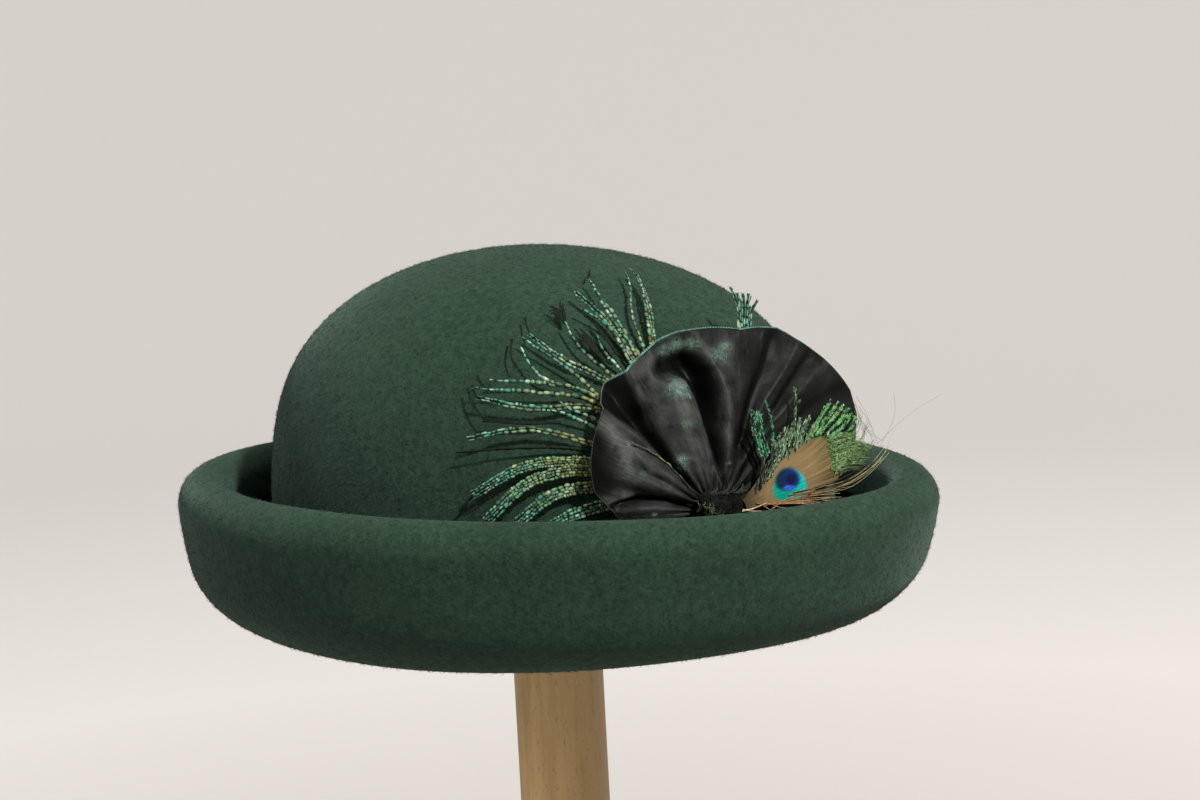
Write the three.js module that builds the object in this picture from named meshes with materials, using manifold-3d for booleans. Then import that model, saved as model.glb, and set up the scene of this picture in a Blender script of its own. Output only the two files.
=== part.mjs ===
import * as THREE from 'three';
import { mergeVertices } from 'three/addons/utils/BufferGeometryUtils.js';
import Module from 'manifold-3d';

// A felt breton hat with a gathered satin fan and peacock feathers, on a turned wooden stand.
// Millimetres, +Z up, origin at the middle of the stand's underside, front of the hat towards -Y.

// Head and felt
const HEAD_WIDTH = 170; // outside of the felt at the headline, ear to ear
const HEAD_LENGTH = 204; // outside of the felt at the headline, front to back
const CROWN_HEIGHT = 120; // from the brim's underside to the top of the crown
const CROWN_SET_BACK = 5; // the top of the crown leans this far to the back
const CROWN_SHOULDER = 4.13; // higher is squarer where the side turns into the top
const CROWN_FULLNESS = 1.935; // higher is fuller across the top
const FELT = 2.5; // thickness
const GAP = 0.3; // between pieces that touch

// Brim, across its section
const BRIM_REACH = 32; // from the crown to the outermost point
const BRIM_TURN = 25.5; // radius of the turn from the flat margin up into the wall
const BRIM_MARGIN = 3; // flat margin outside the crown
const EDGE_ROLL = 8.4; // radius of the rolled edge
const EDGE_TAIL = 8; // the turned-in edge goes on down inside the roll
const BRIM_HEIGHT = { front: 44, left: 44, back: 50, right: 48.5 };

// Fan of satin ribbon, seen from the front: x to the wearer's left, y up, from its knot
const TRIM_AT_DEG = 250; // round the crown from the wearer's left, 270 is the front
const TRIM_OUT = 8; // the knot's distance from the crown
const TRIM_UP = 43.5; // the knot's height above the brim's underside
const FAN_NECK = 3.5; // radius at which the folds start, behind the knot
const FAN_CLOTH = 1.6; // thickness, front to back
const FAN_LEAN = 0.1; // slope back at the knot
const FAN_ARCH = 0.0035; // more slope further up
const FAN_WRAP = 0.005; // the sides bend back round the crown
const KNOT = { width: 13, height: 10, depth: 7, x: 0.8, y: 2.5, forward: 4.8 };

// Folds of the fan in order round it. Angles in degrees, the rest in mm.
// edge and neck: angle at the outer edge and near the knot; radius: from the knot to the edge
// middle and rim: how far the fold stands forward halfway out and at the edge
const FOLDS = [
  { edge: 186, neck: 184, radius: 26, middle: 0, rim: 0 },
  { edge: 177, neck: 174, radius: 29.5, middle: 1.5, rim: 1.5 },
  { edge: 169, neck: 163, radius: 34.8, middle: -2.5, rim: -1.5 },
  { edge: 151, neck: 152, radius: 40.2, middle: 3, rim: 2 },
  { edge: 134, neck: 132, radius: 46.4, middle: 5.5, rim: 5 },
  { edge: 124, neck: 128, radius: 47, middle: -4.5, rim: -3.5 },
  { edge: 115, neck: 119, radius: 46.8, middle: -0.5, rim: 0 },
  { edge: 101, neck: 98, radius: 51.2, middle: 5.5, rim: 1 },
  { edge: 93, neck: 80, radius: 52.5, middle: -5, rim: -1.5 },
  { edge: 85, neck: 69, radius: 53.3, middle: 4, rim: 4 },
  { edge: 70, neck: 62, radius: 54.8, middle: 1, rim: 1.5 },
  { edge: 57, neck: 54, radius: 60.5, middle: -4, rim: -3.5 },
  { edge: 49.5, neck: 49, radius: 61.3, middle: 2.5, rim: 3 },
  { edge: 44, neck: 44, radius: 62.3, middle: -2.5, rim: -2.5 },
  { edge: 37, neck: 38, radius: 63.2, middle: 2, rim: 2.5 },
  { edge: 26, neck: 28, radius: 66.6, middle: -2.5, rim: -2.5 },
  { edge: 12, neck: 14, radius: 56, middle: 0, rim: 0 },
  { edge: 0, neck: 3, radius: 38, middle: 0, rim: 0 },
];

// Eye feather, in front of the fan's right side: its foot beside the knot, its vane and its locks
const FEATHER = { x: 5.6, y: 0.6, start: 5, forward: 4.5, vane: 1.2, quill: 2.2, quillDeg: 14.6, quillLength: 20 };
// Lock tips and the notches between them, angle about the feather's foot and distance from it
const LOCKS = [
  { deg: -6, out: 16 }, { deg: -4.3, out: 42 }, { deg: -2.5, out: 38 }, { deg: -0.8, out: 45.5 },
  { deg: 0.6, out: 41 }, { deg: 2.1, out: 52 }, { deg: 5, out: 46 }, { deg: 8.6, out: 59 },
  { deg: 13, out: 51 }, { deg: 17, out: 55 }, { deg: 19, out: 50 }, { deg: 21, out: 53 },
  { deg: 23.5, out: 47 }, { deg: 26, out: 53 }, { deg: 29, out: 45 }, { deg: 31.8, out: 50.8 },
  { deg: 34, out: 42 }, { deg: 35.6, out: 47.9 }, { deg: 38, out: 32 }, { deg: 40, out: 36 },
  { deg: 43, out: 27 }, { deg: 46, out: 29 }, { deg: 51, out: 23 }, { deg: 56, out: 27.4 },
  { deg: 61, out: 18 }, { deg: 66, out: 33 }, { deg: 69, out: 20 }, { deg: 72, out: 30.6 },
  { deg: 77, out: 13 },
];

// Herls that spread from behind the fan over the crown
const HERL = { root: 1.2, wide: 3, tip: 1.6, thick: 1.3, layer: 0.3, liftRoot: 2.2, lift: [2.2, 3.3, 4] };
const HERL_PAD = { width: 20, height: 12, y: 1.5, back: -0.5, front: 2.4, boss: 5.6, bossShare: 0.45 };
// Where each one leaves the fan, its middle and its tip: degrees round the crown, share of the crown's height
// lift: distance from the crown at those places, where it isn't the usual one
const HERLS = [
  { leave: [245.7, 0.771], middle: [247.3, 0.846], tip: [254.1, 0.934] },
  { leave: [247.9, 0.773], middle: [252.0, 0.855], tip: [257.9, 0.93] },
  { leave: [239.7, 0.756], middle: [237.3, 0.828], tip: [234.8, 0.901] },
  { leave: [239.1, 0.752], middle: [239.5, 0.846], tip: [240.0, 0.927] },
  { leave: [238.7, 0.752], middle: [238.6, 0.804], tip: [235.9, 0.877] },
  { leave: [234.3, 0.708], middle: [226.9, 0.776], tip: [219.6, 0.838] },
  { leave: [233.0, 0.678], middle: [225.5, 0.753], tip: [217.6, 0.792] },
  { leave: [232.0, 0.663], middle: [222.9, 0.696], tip: [218.2, 0.78] },
  { leave: [234.8, 0.724], middle: [230.8, 0.809], tip: [229.1, 0.852] },
  { leave: [231.3, 0.644], middle: [221.9, 0.685], tip: [212.1, 0.698] },
  { leave: [230.9, 0.626], middle: [219.8, 0.672], tip: [210.1, 0.701] },
  { leave: [230.5, 0.609], middle: [219.7, 0.646], tip: [208.6, 0.682] },
  { leave: [230.0, 0.598], middle: [217.8, 0.635], tip: [209.8, 0.665] },
  { leave: [229.5, 0.543], middle: [219.3, 0.58], tip: [208.2, 0.568] },
  { leave: [229.5, 0.498], middle: [219.7, 0.484], tip: [208.7, 0.43] },
  { leave: [229.6, 0.473], middle: [220.4, 0.455], tip: [210.6, 0.364] },
  { leave: [229.7, 0.43], middle: [222.7, 0.41], tip: [215.7, 0.352] },
  { leave: [229.7, 0.387], middle: [226.0, 0.379], tip: [221.5, 0.348] },
  { leave: [267.6, 0.787], middle: [269.1, 0.836], tip: [269.2, 0.886], lift: [9, 11.4, 14] },
  { leave: [269.1, 0.785], middle: [272.0, 0.833], tip: [274.0, 0.864], lift: [9.2, 11.7, 13.8] },
];

// Stand
const STAND_HEIGHT = 320; // to the top of the head inside the crown
const BASE = { width: 170, thick: 20, round: 6 };
const POST_WIDTH = 30;
const STAND_HEAD = { width: 80, dome: 90, edge: 14 };
const SOCKET_DEPTH = 12;

// Facets
const AROUND = 56;
const CROWN_RINGS = 12;
const TURNED = 40;

const hatZ = STAND_HEIGHT + GAP + FELT - CROWN_HEIGHT + 0.2;
const halfW = HEAD_WIDTH / 2;
const halfL = HEAD_LENGTH / 2;
const rad = (deg) => (deg * Math.PI) / 180;
const mix = (a, b, s) => a + (b - a) * s;
const ease = (s) => (1 - Math.cos(Math.PI * Math.min(Math.max(s, 0), 1))) / 2;

const wasm = await Module();
wasm.setup();

// A closed skin put together from rings of points.
class Skin {
  constructor() {
    this.points = [];
    this.faces = [];
  }
  ring(list) {
    return list.map((p) => this.points.push(p) - 1);
  }
  // Quads between two rings; the face looks to the right of the way from a to b, seen along the rings.
  bridge(a, b, closed = true) {
    const n = a.length;
    for (let i = 0; i < (closed ? n : n - 1); i++) {
      const j = (i + 1) % n;
      this.faces.push([a[i], a[j], b[j]], [a[i], b[j], b[i]]);
    }
  }
  cap(a, point, turned = false) {
    const c = this.points.push(point) - 1;
    for (let i = 0; i < a.length; i++) {
      const j = (i + 1) % a.length;
      this.faces.push(turned ? [a[j], a[i], c] : [a[i], a[j], c]);
    }
  }
  geometry() {
    const g = new THREE.BufferGeometry();
    g.setAttribute('position', new THREE.Float32BufferAttribute(this.points.flat(), 3));
    g.setIndex(this.faces.flat());
    return g;
  }
}

// A closed body, turned outward if its skin was wound inward.
function solid(geometry) {
  let g = geometry.clone();
  g.deleteAttribute('normal');
  g.deleteAttribute('uv');
  g = mergeVertices(g, 1e-4);
  const triangles = Uint32Array.from(g.index.array);
  const p = g.attributes.position;
  let volume = 0;
  const v = [0, 1, 2].map(() => new THREE.Vector3());
  for (let i = 0; i < triangles.length; i += 3) {
    v.forEach((q, k) => q.fromBufferAttribute(p, triangles[i + k]));
    volume += v[0].dot(v[1].clone().cross(v[2]));
  }
  if (volume < 0) {
    for (let i = 0; i < triangles.length; i += 3) {
      [triangles[i + 1], triangles[i + 2]] = [triangles[i + 2], triangles[i + 1]];
    }
  }
  const mesh = new wasm.Mesh({
    numProp: 3,
    vertProperties: Float32Array.from(p.array),
    triVerts: triangles,
  });
  return new wasm.Manifold(mesh);
}

const group = new THREE.Group();
group.name = 'breton_hat_on_stand';

function add(name, body, colour, roughness, raise = 0) {
  const mesh = body.getMesh();
  const g = new THREE.BufferGeometry();
  const points = [];
  for (let i = 0; i < mesh.vertProperties.length; i += mesh.numProp) {
    points.push(mesh.vertProperties[i], mesh.vertProperties[i + 1], mesh.vertProperties[i + 2] + raise);
  }
  g.setAttribute('position', new THREE.Float32BufferAttribute(points, 3));
  g.setIndex(Array.from(mesh.triVerts));
  g.computeVertexNormals();
  const material = new THREE.MeshStandardMaterial({ color: colour, roughness, metalness: 0 });
  const node = new THREE.Mesh(g, material);
  node.name = name;
  group.add(node);
}

// Headline ellipse at plan angle t, moved out along its normal.
function plan(t, out) {
  const n = new THREE.Vector2(halfL * Math.cos(t), halfW * Math.sin(t)).normalize();
  return [halfW * Math.cos(t) + n.x * out, halfL * Math.sin(t) + n.y * out];
}
const around = Array.from({ length: AROUND }, (_, i) => (i / AROUND) * 2 * Math.PI);

// Crown: a dome with an oval plan, its felt grown outward or inward by `out`.
function crownPoint(t, z, out) {
  const share = Math.min(z / (CROWN_HEIGHT + out), 1);
  const ring = Math.pow(Math.max(1 - Math.pow(share, CROWN_SHOULDER), 0), 1 / CROWN_FULLNESS);
  const back = CROWN_SET_BACK * share * share;
  return [(halfW + out) * Math.cos(t) * ring, (halfL + out) * Math.sin(t) * ring + back, z];
}
function crownRings(skin, out) {
  const rings = [];
  for (let i = 0; i < CROWN_RINGS; i++) {
    const lift = Math.sin((i / CROWN_RINGS) * (Math.PI / 2));
    const z = (CROWN_HEIGHT + out) * Math.pow(lift, 2 / CROWN_SHOULDER);
    rings.push(skin.ring(around.map((t) => crownPoint(t, Math.max(z, FELT + GAP), out))));
  }
  return rings;
}
{
  const skin = new Skin();
  const outer = crownRings(skin, 0);
  const inner = crownRings(skin, -FELT);
  for (let i = 0; i + 1 < CROWN_RINGS; i++) {
    skin.bridge(outer[i], outer[i + 1]);
    skin.bridge(inner[i + 1], inner[i]);
  }
  skin.cap(outer[CROWN_RINGS - 1], [0, CROWN_SET_BACK, CROWN_HEIGHT]);
  skin.cap(inner[CROWN_RINGS - 1], [0, CROWN_SET_BACK, CROWN_HEIGHT - FELT], true);
  skin.bridge(inner[0], outer[0]);
  add('crown', solid(skin.geometry()), 0x32483c, 0.95, hatZ);
}

// Brim: flat margin, turn, wall and rolled edge, as one felt section carried round the headline.
function brimHeight(t) {
  const { front, left, back, right } = BRIM_HEIGHT;
  const mean = (front + left + back + right) / 4;
  const oval = (left + right - front - back) / 4;
  return mean + ((left - right) / 2) * Math.cos(t) + ((back - front) / 2) * Math.sin(t)
    + oval * Math.cos(2 * t);
}
function brimSection(t) {
  const turn = { w: BRIM_MARGIN, z: BRIM_TURN };
  const edge = { w: BRIM_REACH - EDGE_ROLL, z: brimHeight(t) - EDGE_ROLL };
  const [dw, dz] = [edge.w - turn.w, edge.z - turn.z];
  const wall = Math.atan2(dz, dw) - Math.acos((BRIM_TURN - EDGE_ROLL) / Math.hypot(dw, dz));
  const arc = (c, r, from, to, steps) => Array.from({ length: steps + 1 }, (_, i) => {
    const a = mix(from, to, i / steps);
    return [c.w + r * Math.cos(a), c.z + r * Math.sin(a)];
  });
  const side = (felt, turnSteps, edgeSteps) => [
    [-FELT, felt],
    ...arc(turn, BRIM_TURN - felt, -Math.PI / 2, wall, turnSteps),
    ...arc(edge, EDGE_ROLL - felt, wall, Math.PI, edgeSteps),
    [edge.w - EDGE_ROLL + felt, edge.z - EDGE_TAIL],
  ];
  return [...side(0, 6, 7), ...side(FELT, 4, 5).reverse()];
}
{
  const skin = new Skin();
  const sections = around.map((t) => brimSection(t).map(([w, z]) => [...plan(t, w), z]));
  const rings = sections[0].map((_, j) => skin.ring(sections.map((s) => s[j])));
  rings.forEach((ring, j) => skin.bridge(ring, rings[(j + 1) % rings.length]));
  add('brim', solid(skin.geometry()), 0x32483c, 0.95, hatZ);
}

// The trim's own frame: x along the crown to the wearer's left, y up, forward away from the crown.
const trimT = rad(TRIM_AT_DEG);
const trimFoot = plan(trimT, TRIM_OUT);
const trimOut = new THREE.Vector2(halfL * Math.cos(trimT), halfW * Math.sin(trimT)).normalize();
function trimPoint(x, y, forward) {
  const f = forward;
  return [
    trimFoot[0] - trimOut.y * x + trimOut.x * f,
    trimFoot[1] + trimOut.x * x + trimOut.y * f,
    TRIM_UP + y,
  ];
}
// How far the fan's middle surface stands forward of the upright plane through its knot.
function fanLean(x, y) {
  const up = Math.max(y, 0);
  return -FAN_LEAN * up - FAN_ARCH * up * up - FAN_WRAP * x * x;
}

// Satin fan: columns along the ribbon, each from the knot out to the edge.
function fanColumn(k, part, steps) {
  const [a, b] = [FOLDS[k], FOLDS[Math.min(k + 1, FOLDS.length - 1)]];
  const s = ease(part);
  const radius = mix(a.radius, b.radius, part);
  const middle = mix(a.middle, b.middle, s);
  const rim = mix(a.rim, b.rim, s);
  return Array.from({ length: steps + 1 }, (_, j) => {
    const q = j / steps;
    const r = mix(FAN_NECK, radius, q);
    const spread = Math.min(Math.max((r - 15) / 35, 0), 1);
    const angle = rad(mix(mix(a.neck, b.neck, part), mix(a.edge, b.edge, part), spread));
    const rise = 0.1 * middle * (1 - q) * (1 - 2 * q) + 4 * middle * q * (1 - q) + rim * q * (2 * q - 1);
    const [x, y] = [r * Math.cos(angle), r * Math.sin(angle)];
    return { x, y, forward: fanLean(x, y) + rise };
  });
}
{
  const skin = new Skin();
  const columns = [];
  for (let k = 0; k + 1 < FOLDS.length; k++) {
    for (const part of [0, 1 / 3, 2 / 3]) columns.push(fanColumn(k, part, 6));
  }
  columns.push(fanColumn(FOLDS.length - 1, 0, 6));
  // Each column is one loop: out along the front, back along the rear.
  const loops = columns.map((c) => skin.ring([
    ...c.map((p) => trimPoint(p.x, p.y, p.forward + FAN_CLOTH / 2)),
    ...c.map((p) => trimPoint(p.x, p.y, p.forward - FAN_CLOTH / 2)).reverse(),
  ]));
  for (let i = 0; i + 1 < loops.length; i++) skin.bridge(loops[i], loops[i + 1]);
  for (const [loop, turned] of [[loops[0], true], [loops[loops.length - 1], false]]) {
    const n = loop.length;
    for (let j = 0; j + 1 < n / 2; j++) {
      const quad = [loop[j], loop[j + 1], loop[n - 2 - j], loop[n - 1 - j]];
      if (turned) quad.reverse();
      skin.faces.push([quad[0], quad[1], quad[2]], [quad[0], quad[2], quad[3]]);
    }
  }
  add('satin_fan', solid(skin.geometry()), 0x1c1c1e, 0.4, hatZ);
}

// Knot: the ribbon's gathered end, pinched into a few tucks.
{
  const skin = new Skin();
  const rings = [];
  for (let i = 1; i < 8; i++) {
    const a = (i / 8) * Math.PI;
    rings.push(skin.ring(Array.from({ length: 20 }, (_, j) => {
      const b = (j / 20) * 2 * Math.PI;
      const tuck = 1 - 0.1 * Math.pow(Math.sin(2.5 * b), 2) * Math.sin(a);
      const x = KNOT.x - (KNOT.width / 2) * Math.cos(a);
      const y = KNOT.y + (KNOT.height / 2) * Math.sin(a) * Math.cos(b) * tuck;
      return trimPoint(x, y, KNOT.forward + (KNOT.depth / 2) * Math.sin(a) * Math.sin(b) * tuck);
    })));
  }
  for (let i = 0; i + 1 < rings.length; i++) skin.bridge(rings[i], rings[i + 1]);
  skin.cap(rings[0], trimPoint(KNOT.x - KNOT.width / 2, KNOT.y, KNOT.forward), true);
  skin.cap(rings[rings.length - 1], trimPoint(KNOT.x + KNOT.width / 2, KNOT.y, KNOT.forward));
  add('fan_knot', solid(skin.geometry()), 0x222422, 0.6, hatZ);
}

// Eye feather: a thin vane that follows the fan, thicker along its quill, with a jagged fringe.
{
  const skin = new Skin();
  const rings = LOCKS.map(({ deg, out }) => {
    const steps = 6;
    const line = Array.from({ length: steps + 1 }, (_, j) => {
      const r = mix(FEATHER.start, out, j / steps);
      const [x, y] = [FEATHER.x + r * Math.cos(rad(deg)), FEATHER.y + r * Math.sin(rad(deg))];
      const low = ease((10 - y) / 12) * Math.pow(x / 47, 2);
      const near = 1 - ease(Math.abs(deg - FEATHER.quillDeg) / 12);
      const along = 1 - ease((r - FEATHER.quillLength * 0.6) / (FEATHER.quillLength * 0.6));
      const thick = mix(FEATHER.vane, FEATHER.quill, near * along);
      return { x, y, f: fanLean(x, y) + FEATHER.forward - 3.2 * low, thick };
    });
    return skin.ring([
      ...line.map((p) => trimPoint(p.x, p.y, p.f + p.thick - FEATHER.vane / 2)),
      ...line.map((p) => trimPoint(p.x, p.y, p.f - FEATHER.vane / 2)).reverse(),
    ]);
  });
  for (let i = 0; i + 1 < rings.length; i++) skin.bridge(rings[i], rings[i + 1]);
  for (const [loop, turned] of [[rings[0], true], [rings[rings.length - 1], false]]) {
    const n = loop.length;
    for (let j = 0; j + 1 < n / 2; j++) {
      const quad = [loop[j], loop[j + 1], loop[n - 2 - j], loop[n - 1 - j]];
      if (turned) quad.reverse();
      skin.faces.push([quad[0], quad[1], quad[2]], [quad[0], quad[2], quad[3]]);
    }
  }
  add('eye_feather', solid(skin.geometry()), 0x7a6a3c, 0.55, hatZ);
}

// Herl spray: a pad sewn behind the knot, and a tapered strip for each herl that lies over the crown.
function along(points, s) {
  const n = points.length - 1;
  const i = Math.min(Math.floor(s * n), n - 1);
  const f = s * n - i;
  const at = (k) => points[Math.min(Math.max(k, 0), n)];
  return [0, 1, 2].map((c) => {
    const [p, q, r, t] = [at(i - 1)[c], at(i)[c], at(i + 1)[c], at(i + 2)[c]];
    return q + 0.5 * f * (r - p + f * (2 * p - 5 * q + 4 * r - t + f * (3 * (q - r) + t - p)));
  });
}
{
  const pad = new Skin();
  const face = (depth, share) => pad.ring(Array.from({ length: 20 }, (_, i) => {
    const a = (i / 20) * 2 * Math.PI;
    const x = (HERL_PAD.width / 2) * share * Math.cos(a);
    const y = HERL_PAD.y + (HERL_PAD.height / 2) * share * Math.sin(a);
    return trimPoint(x, y, depth - TRIM_OUT);
  }));
  const { back, front, boss, bossShare } = HERL_PAD;
  const steps = [face(back, 1), face(front, 1), face(front, bossShare), face(boss, bossShare)];
  for (let i = 0; i < 3; i++) pad.bridge(steps[i], steps[i + 1]);
  pad.cap(steps[0], trimPoint(0, HERL_PAD.y, back - TRIM_OUT), true);
  pad.cap(steps[3], trimPoint(0, HERL_PAD.y, boss - TRIM_OUT));
  let spray = solid(pad.geometry());
  const rootUp = (TRIM_UP + HERL_PAD.y) / CROWN_HEIGHT;
  const perDegree = rad(1) * Math.hypot(halfW * Math.sin(trimT), halfL * Math.cos(trimT));
  HERLS.forEach((herl, order) => {
    // Each root lies on the pad, on the side its herl leaves from, and neighbours lie in layers.
    const way = new THREE.Vector2(
      (herl.leave[0] - TRIM_AT_DEG) * perDegree, (herl.leave[1] - rootUp) * CROWN_HEIGHT,
    ).normalize();
    const layer = HERL.layer * ((order % 3) - 1);
    const rootDeg = TRIM_AT_DEG + (way.x * HERL_PAD.width) / 4 / perDegree;
    const path = [
      [rootDeg, rootUp + (way.y * HERL_PAD.height) / 4 / CROWN_HEIGHT, HERL.liftRoot],
      ...['leave', 'middle', 'tip'].map((place, k) => [...herl[place], (herl.lift ?? HERL.lift)[k]]),
    ];
    const place = (s, more) => {
      const [deg, up, lift] = along(path, s);
      const low = s < 1 / 3 ? mix(HERL.liftRoot, path[1][2], 9 * s * s) : lift;
      return new THREE.Vector3(...crownPoint(rad(deg), up * CROWN_HEIGHT, low + layer * s + more));
    };
    const skin = new Skin();
    const steps = 5;
    const sections = Array.from({ length: steps + 1 }, (_, j) => {
      const s = j / steps;
      const here = place(s, 0);
      const run = place(Math.min(s + 0.02, 1), 0).sub(place(Math.max(s - 0.02, 0), 0)).normalize();
      const up = place(s, 0.5).sub(here);
      up.addScaledVector(run, -up.dot(run)).normalize();
      const side = new THREE.Vector3().crossVectors(run, up);
      const half = (s < 0.4 ? mix(HERL.root, HERL.wide, s / 0.4) : mix(HERL.wide, HERL.tip, (s - 0.4) / 0.6)) / 2;
      const thick = mix(HERL.thick, HERL.thick * 0.7, s) / 2;
      return skin.ring([[-1, -1], [1, -1], [1, 1], [-1, 1]].map(([a, b]) => here.clone()
        .addScaledVector(side, a * half).addScaledVector(up, b * thick).toArray()));
    });
    for (let j = 0; j < steps; j++) skin.bridge(sections[j], sections[j + 1]);
    skin.cap(sections[0], place(0, 0).toArray(), true);
    skin.cap(sections[steps], place(1, 0).toArray());
    spray = spray.add(solid(skin.geometry()));
  });
  // Pockets closed in between crossing strips are filled.
  const [whole] = spray.simplify(0.05).decompose().sort((a, b) => b.volume() - a.volume());
  add('herl_spray', whole, 0x2f6b4a, 0.5, hatZ);
}

// Stand: a turned base, a round post let into it, and a domed head that carries the crown.
const turned = (profile) => solid(new THREE.LatheGeometry(
  profile.map(([r, z]) => new THREE.Vector2(r, z)), TURNED,
).rotateX(Math.PI / 2));
const socketR = POST_WIDTH / 2 + GAP;
{
  const { width, thick, round } = BASE;
  const corner = Array.from({ length: 5 }, (_, i) => {
    const a = (i / 4) * (Math.PI / 2);
    return [width / 2 - round + round * Math.cos(a), thick - round + round * Math.sin(a)];
  });
  const floor = thick - SOCKET_DEPTH;
  add('stand_base', turned([[0, 0], [width / 2, 0], ...corner, [socketR, thick], [socketR, floor], [0, floor]]),
    0xa8875a, 0.6);
}
const headFall = STAND_HEAD.dome - Math.sqrt(STAND_HEAD.dome ** 2 - (STAND_HEAD.width / 2) ** 2);
const headFoot = STAND_HEIGHT - headFall - STAND_HEAD.edge;
{
  const low = BASE.thick - SOCKET_DEPTH + GAP;
  const high = headFoot + SOCKET_DEPTH - GAP;
  add('stand_post', turned([[0, low], [POST_WIDTH / 2, low], [POST_WIDTH / 2, high], [0, high]]), 0xb08f60, 0.55);
}
{
  const dome = Array.from({ length: 6 }, (_, i) => {
    const r = (STAND_HEAD.width / 2) * (1 - i / 5);
    return [r, STAND_HEIGHT - STAND_HEAD.dome + Math.sqrt(STAND_HEAD.dome ** 2 - r * r)];
  });
  const top = headFoot + SOCKET_DEPTH;
  const half = STAND_HEAD.width / 2;
  add('stand_head', turned([[0, top], [socketR, top], [socketR, headFoot], [half, headFoot], ...dome]),
    0xa8875a, 0.6);
}

export default group;
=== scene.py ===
# A felt breton hat with a gathered satin fan and peacock feathers, on a turned wooden stand.
# Sizes are in millimetres and every mesh is scaled to metres, with the front of the hat towards -Y.
import math
import random

import bmesh
import bpy
import numpy as np
from mathutils import Matrix, Vector, noise


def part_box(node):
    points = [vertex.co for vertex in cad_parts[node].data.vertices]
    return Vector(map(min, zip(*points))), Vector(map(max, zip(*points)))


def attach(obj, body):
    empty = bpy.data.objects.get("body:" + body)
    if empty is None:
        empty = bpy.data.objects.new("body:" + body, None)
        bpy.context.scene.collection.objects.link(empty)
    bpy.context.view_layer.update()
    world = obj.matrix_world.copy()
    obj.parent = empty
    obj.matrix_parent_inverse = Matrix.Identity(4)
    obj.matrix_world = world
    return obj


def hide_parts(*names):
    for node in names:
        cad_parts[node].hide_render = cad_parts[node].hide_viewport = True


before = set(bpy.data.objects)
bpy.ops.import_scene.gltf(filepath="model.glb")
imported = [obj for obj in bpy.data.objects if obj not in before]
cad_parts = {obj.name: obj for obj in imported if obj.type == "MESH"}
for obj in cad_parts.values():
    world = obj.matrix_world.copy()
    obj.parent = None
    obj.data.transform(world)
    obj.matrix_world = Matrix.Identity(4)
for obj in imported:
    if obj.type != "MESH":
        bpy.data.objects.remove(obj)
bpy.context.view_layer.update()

# Stand: a turned base, a round pole let into it, and a domed head inside the crown.
# All three are bare beech, fine sanded, with their edges eased. The grain runs up the pole
# and across the base and the head. The side to the camera's right is painted darker, as painted shade.
MM = 0.001
STAND_HEIGHT = 320
BASE_WIDTH = 170
BASE_THICK = 20
BASE_ROUND = 6
ROUND_STEPS = 8
POST_WIDTH = 30
POST_STEPS = 12
HEAD_WIDTH = 80
HEAD_DOME = 90
HEAD_EDGE = 14
DOME_STEPS = 16
SOCKET_DEPTH = 12
JOINT_GAP = 0.3
TURNED_STEPS = 96
SHARP_EDGE = math.radians(40)
EDGE_EASE = 0.8
HEAD_EASE = 1.2
WOOD_LIGHT = (0.54, 0.375, 0.175, 1)
WOOD_DARK = (0.35, 0.226, 0.092, 1)
WOOD_PAINTED_SHADE = (0.245, 0.150, 0.062, 1)
WOOD_PORE = (0.16, 0.092, 0.037, 1)
PORE_STRETCH = 0.26
PAINTED_SHADE_WAY = (0.71, -0.71, 0)


class Tone:
    """A value on a finish's node sheet, so that shader maths reads as plain arithmetic."""

    def __init__(self, sheet, socket):
        self.sheet = sheet
        self.socket = socket

    def maths(self, how, first, second):
        return self.sheet.node("ShaderNodeMath", {"operation": how}, {0: first, 1: second})

    def __add__(self, other):
        return self.maths("ADD", self, other)

    def __radd__(self, other):
        return self.maths("ADD", other, self)

    def __sub__(self, other):
        return self.maths("SUBTRACT", self, other)

    def __rsub__(self, other):
        return self.maths("SUBTRACT", other, self)

    def __mul__(self, other):
        return self.maths("MULTIPLY", self, other)


class Finish:
    """A procedural material with one shader, its constants set on the shader's own sockets."""

    def __init__(self, name, **constants):
        self.material = bpy.data.materials.new(name)
        self.material.use_nodes = True
        self.tree = self.material.node_tree
        self.shader = self.tree.nodes["Principled BSDF"]
        self.feed(**constants)

    def node(self, kind, settings=None, sockets=None, output=0):
        made = self.tree.nodes.new(kind)
        for key, value in (settings or {}).items():
            if key == "stops":
                ramp = made.color_ramp.elements
                while len(ramp) < len(value):
                    ramp.new(0.5)
                for stop, (place, colour) in zip(ramp, value):
                    stop.position = place
                    stop.color = colour
            else:
                setattr(made, key, value)
        for key, value in (sockets or {}).items():
            self.link(value, made.inputs[key])
        return Tone(self, made.outputs[output])

    def link(self, value, socket):
        if isinstance(value, Tone):
            self.tree.links.new(value.socket, socket)
        else:
            socket.default_value = value

    def feed(self, **sockets):
        """Sets or links the shader's own sockets, each by its name in small letters."""
        for socket, value in sockets.items():
            title = socket.replace("_", " ").title().replace("Ior", "IOR")
            self.link(value, self.shader.inputs[title])

    def cloud(self, place, scale, detail=2.0, roughness=0.5):
        values = {"Vector": place, "Scale": scale, "Detail": detail, "Roughness": roughness}
        return self.node("ShaderNodeTexNoise", None, values)

    def span(self, value, low, high):
        """The value, spread so that low becomes 0 and high becomes 1."""
        limits = {"Value": value, "From Min": low, "From Max": high}
        return self.node("ShaderNodeMapRange", {"clamp": True}, limits)

    def blend(self, share, first, second):
        return self.node("ShaderNodeMix", {"data_type": "RGBA"}, {0: share, 6: first, 7: second}, 2)

    def bump(self, height, strength, distance):
        values = {"Height": height, "Strength": strength, "Distance": distance}
        return self.node("ShaderNodeBump", None, values)


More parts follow.
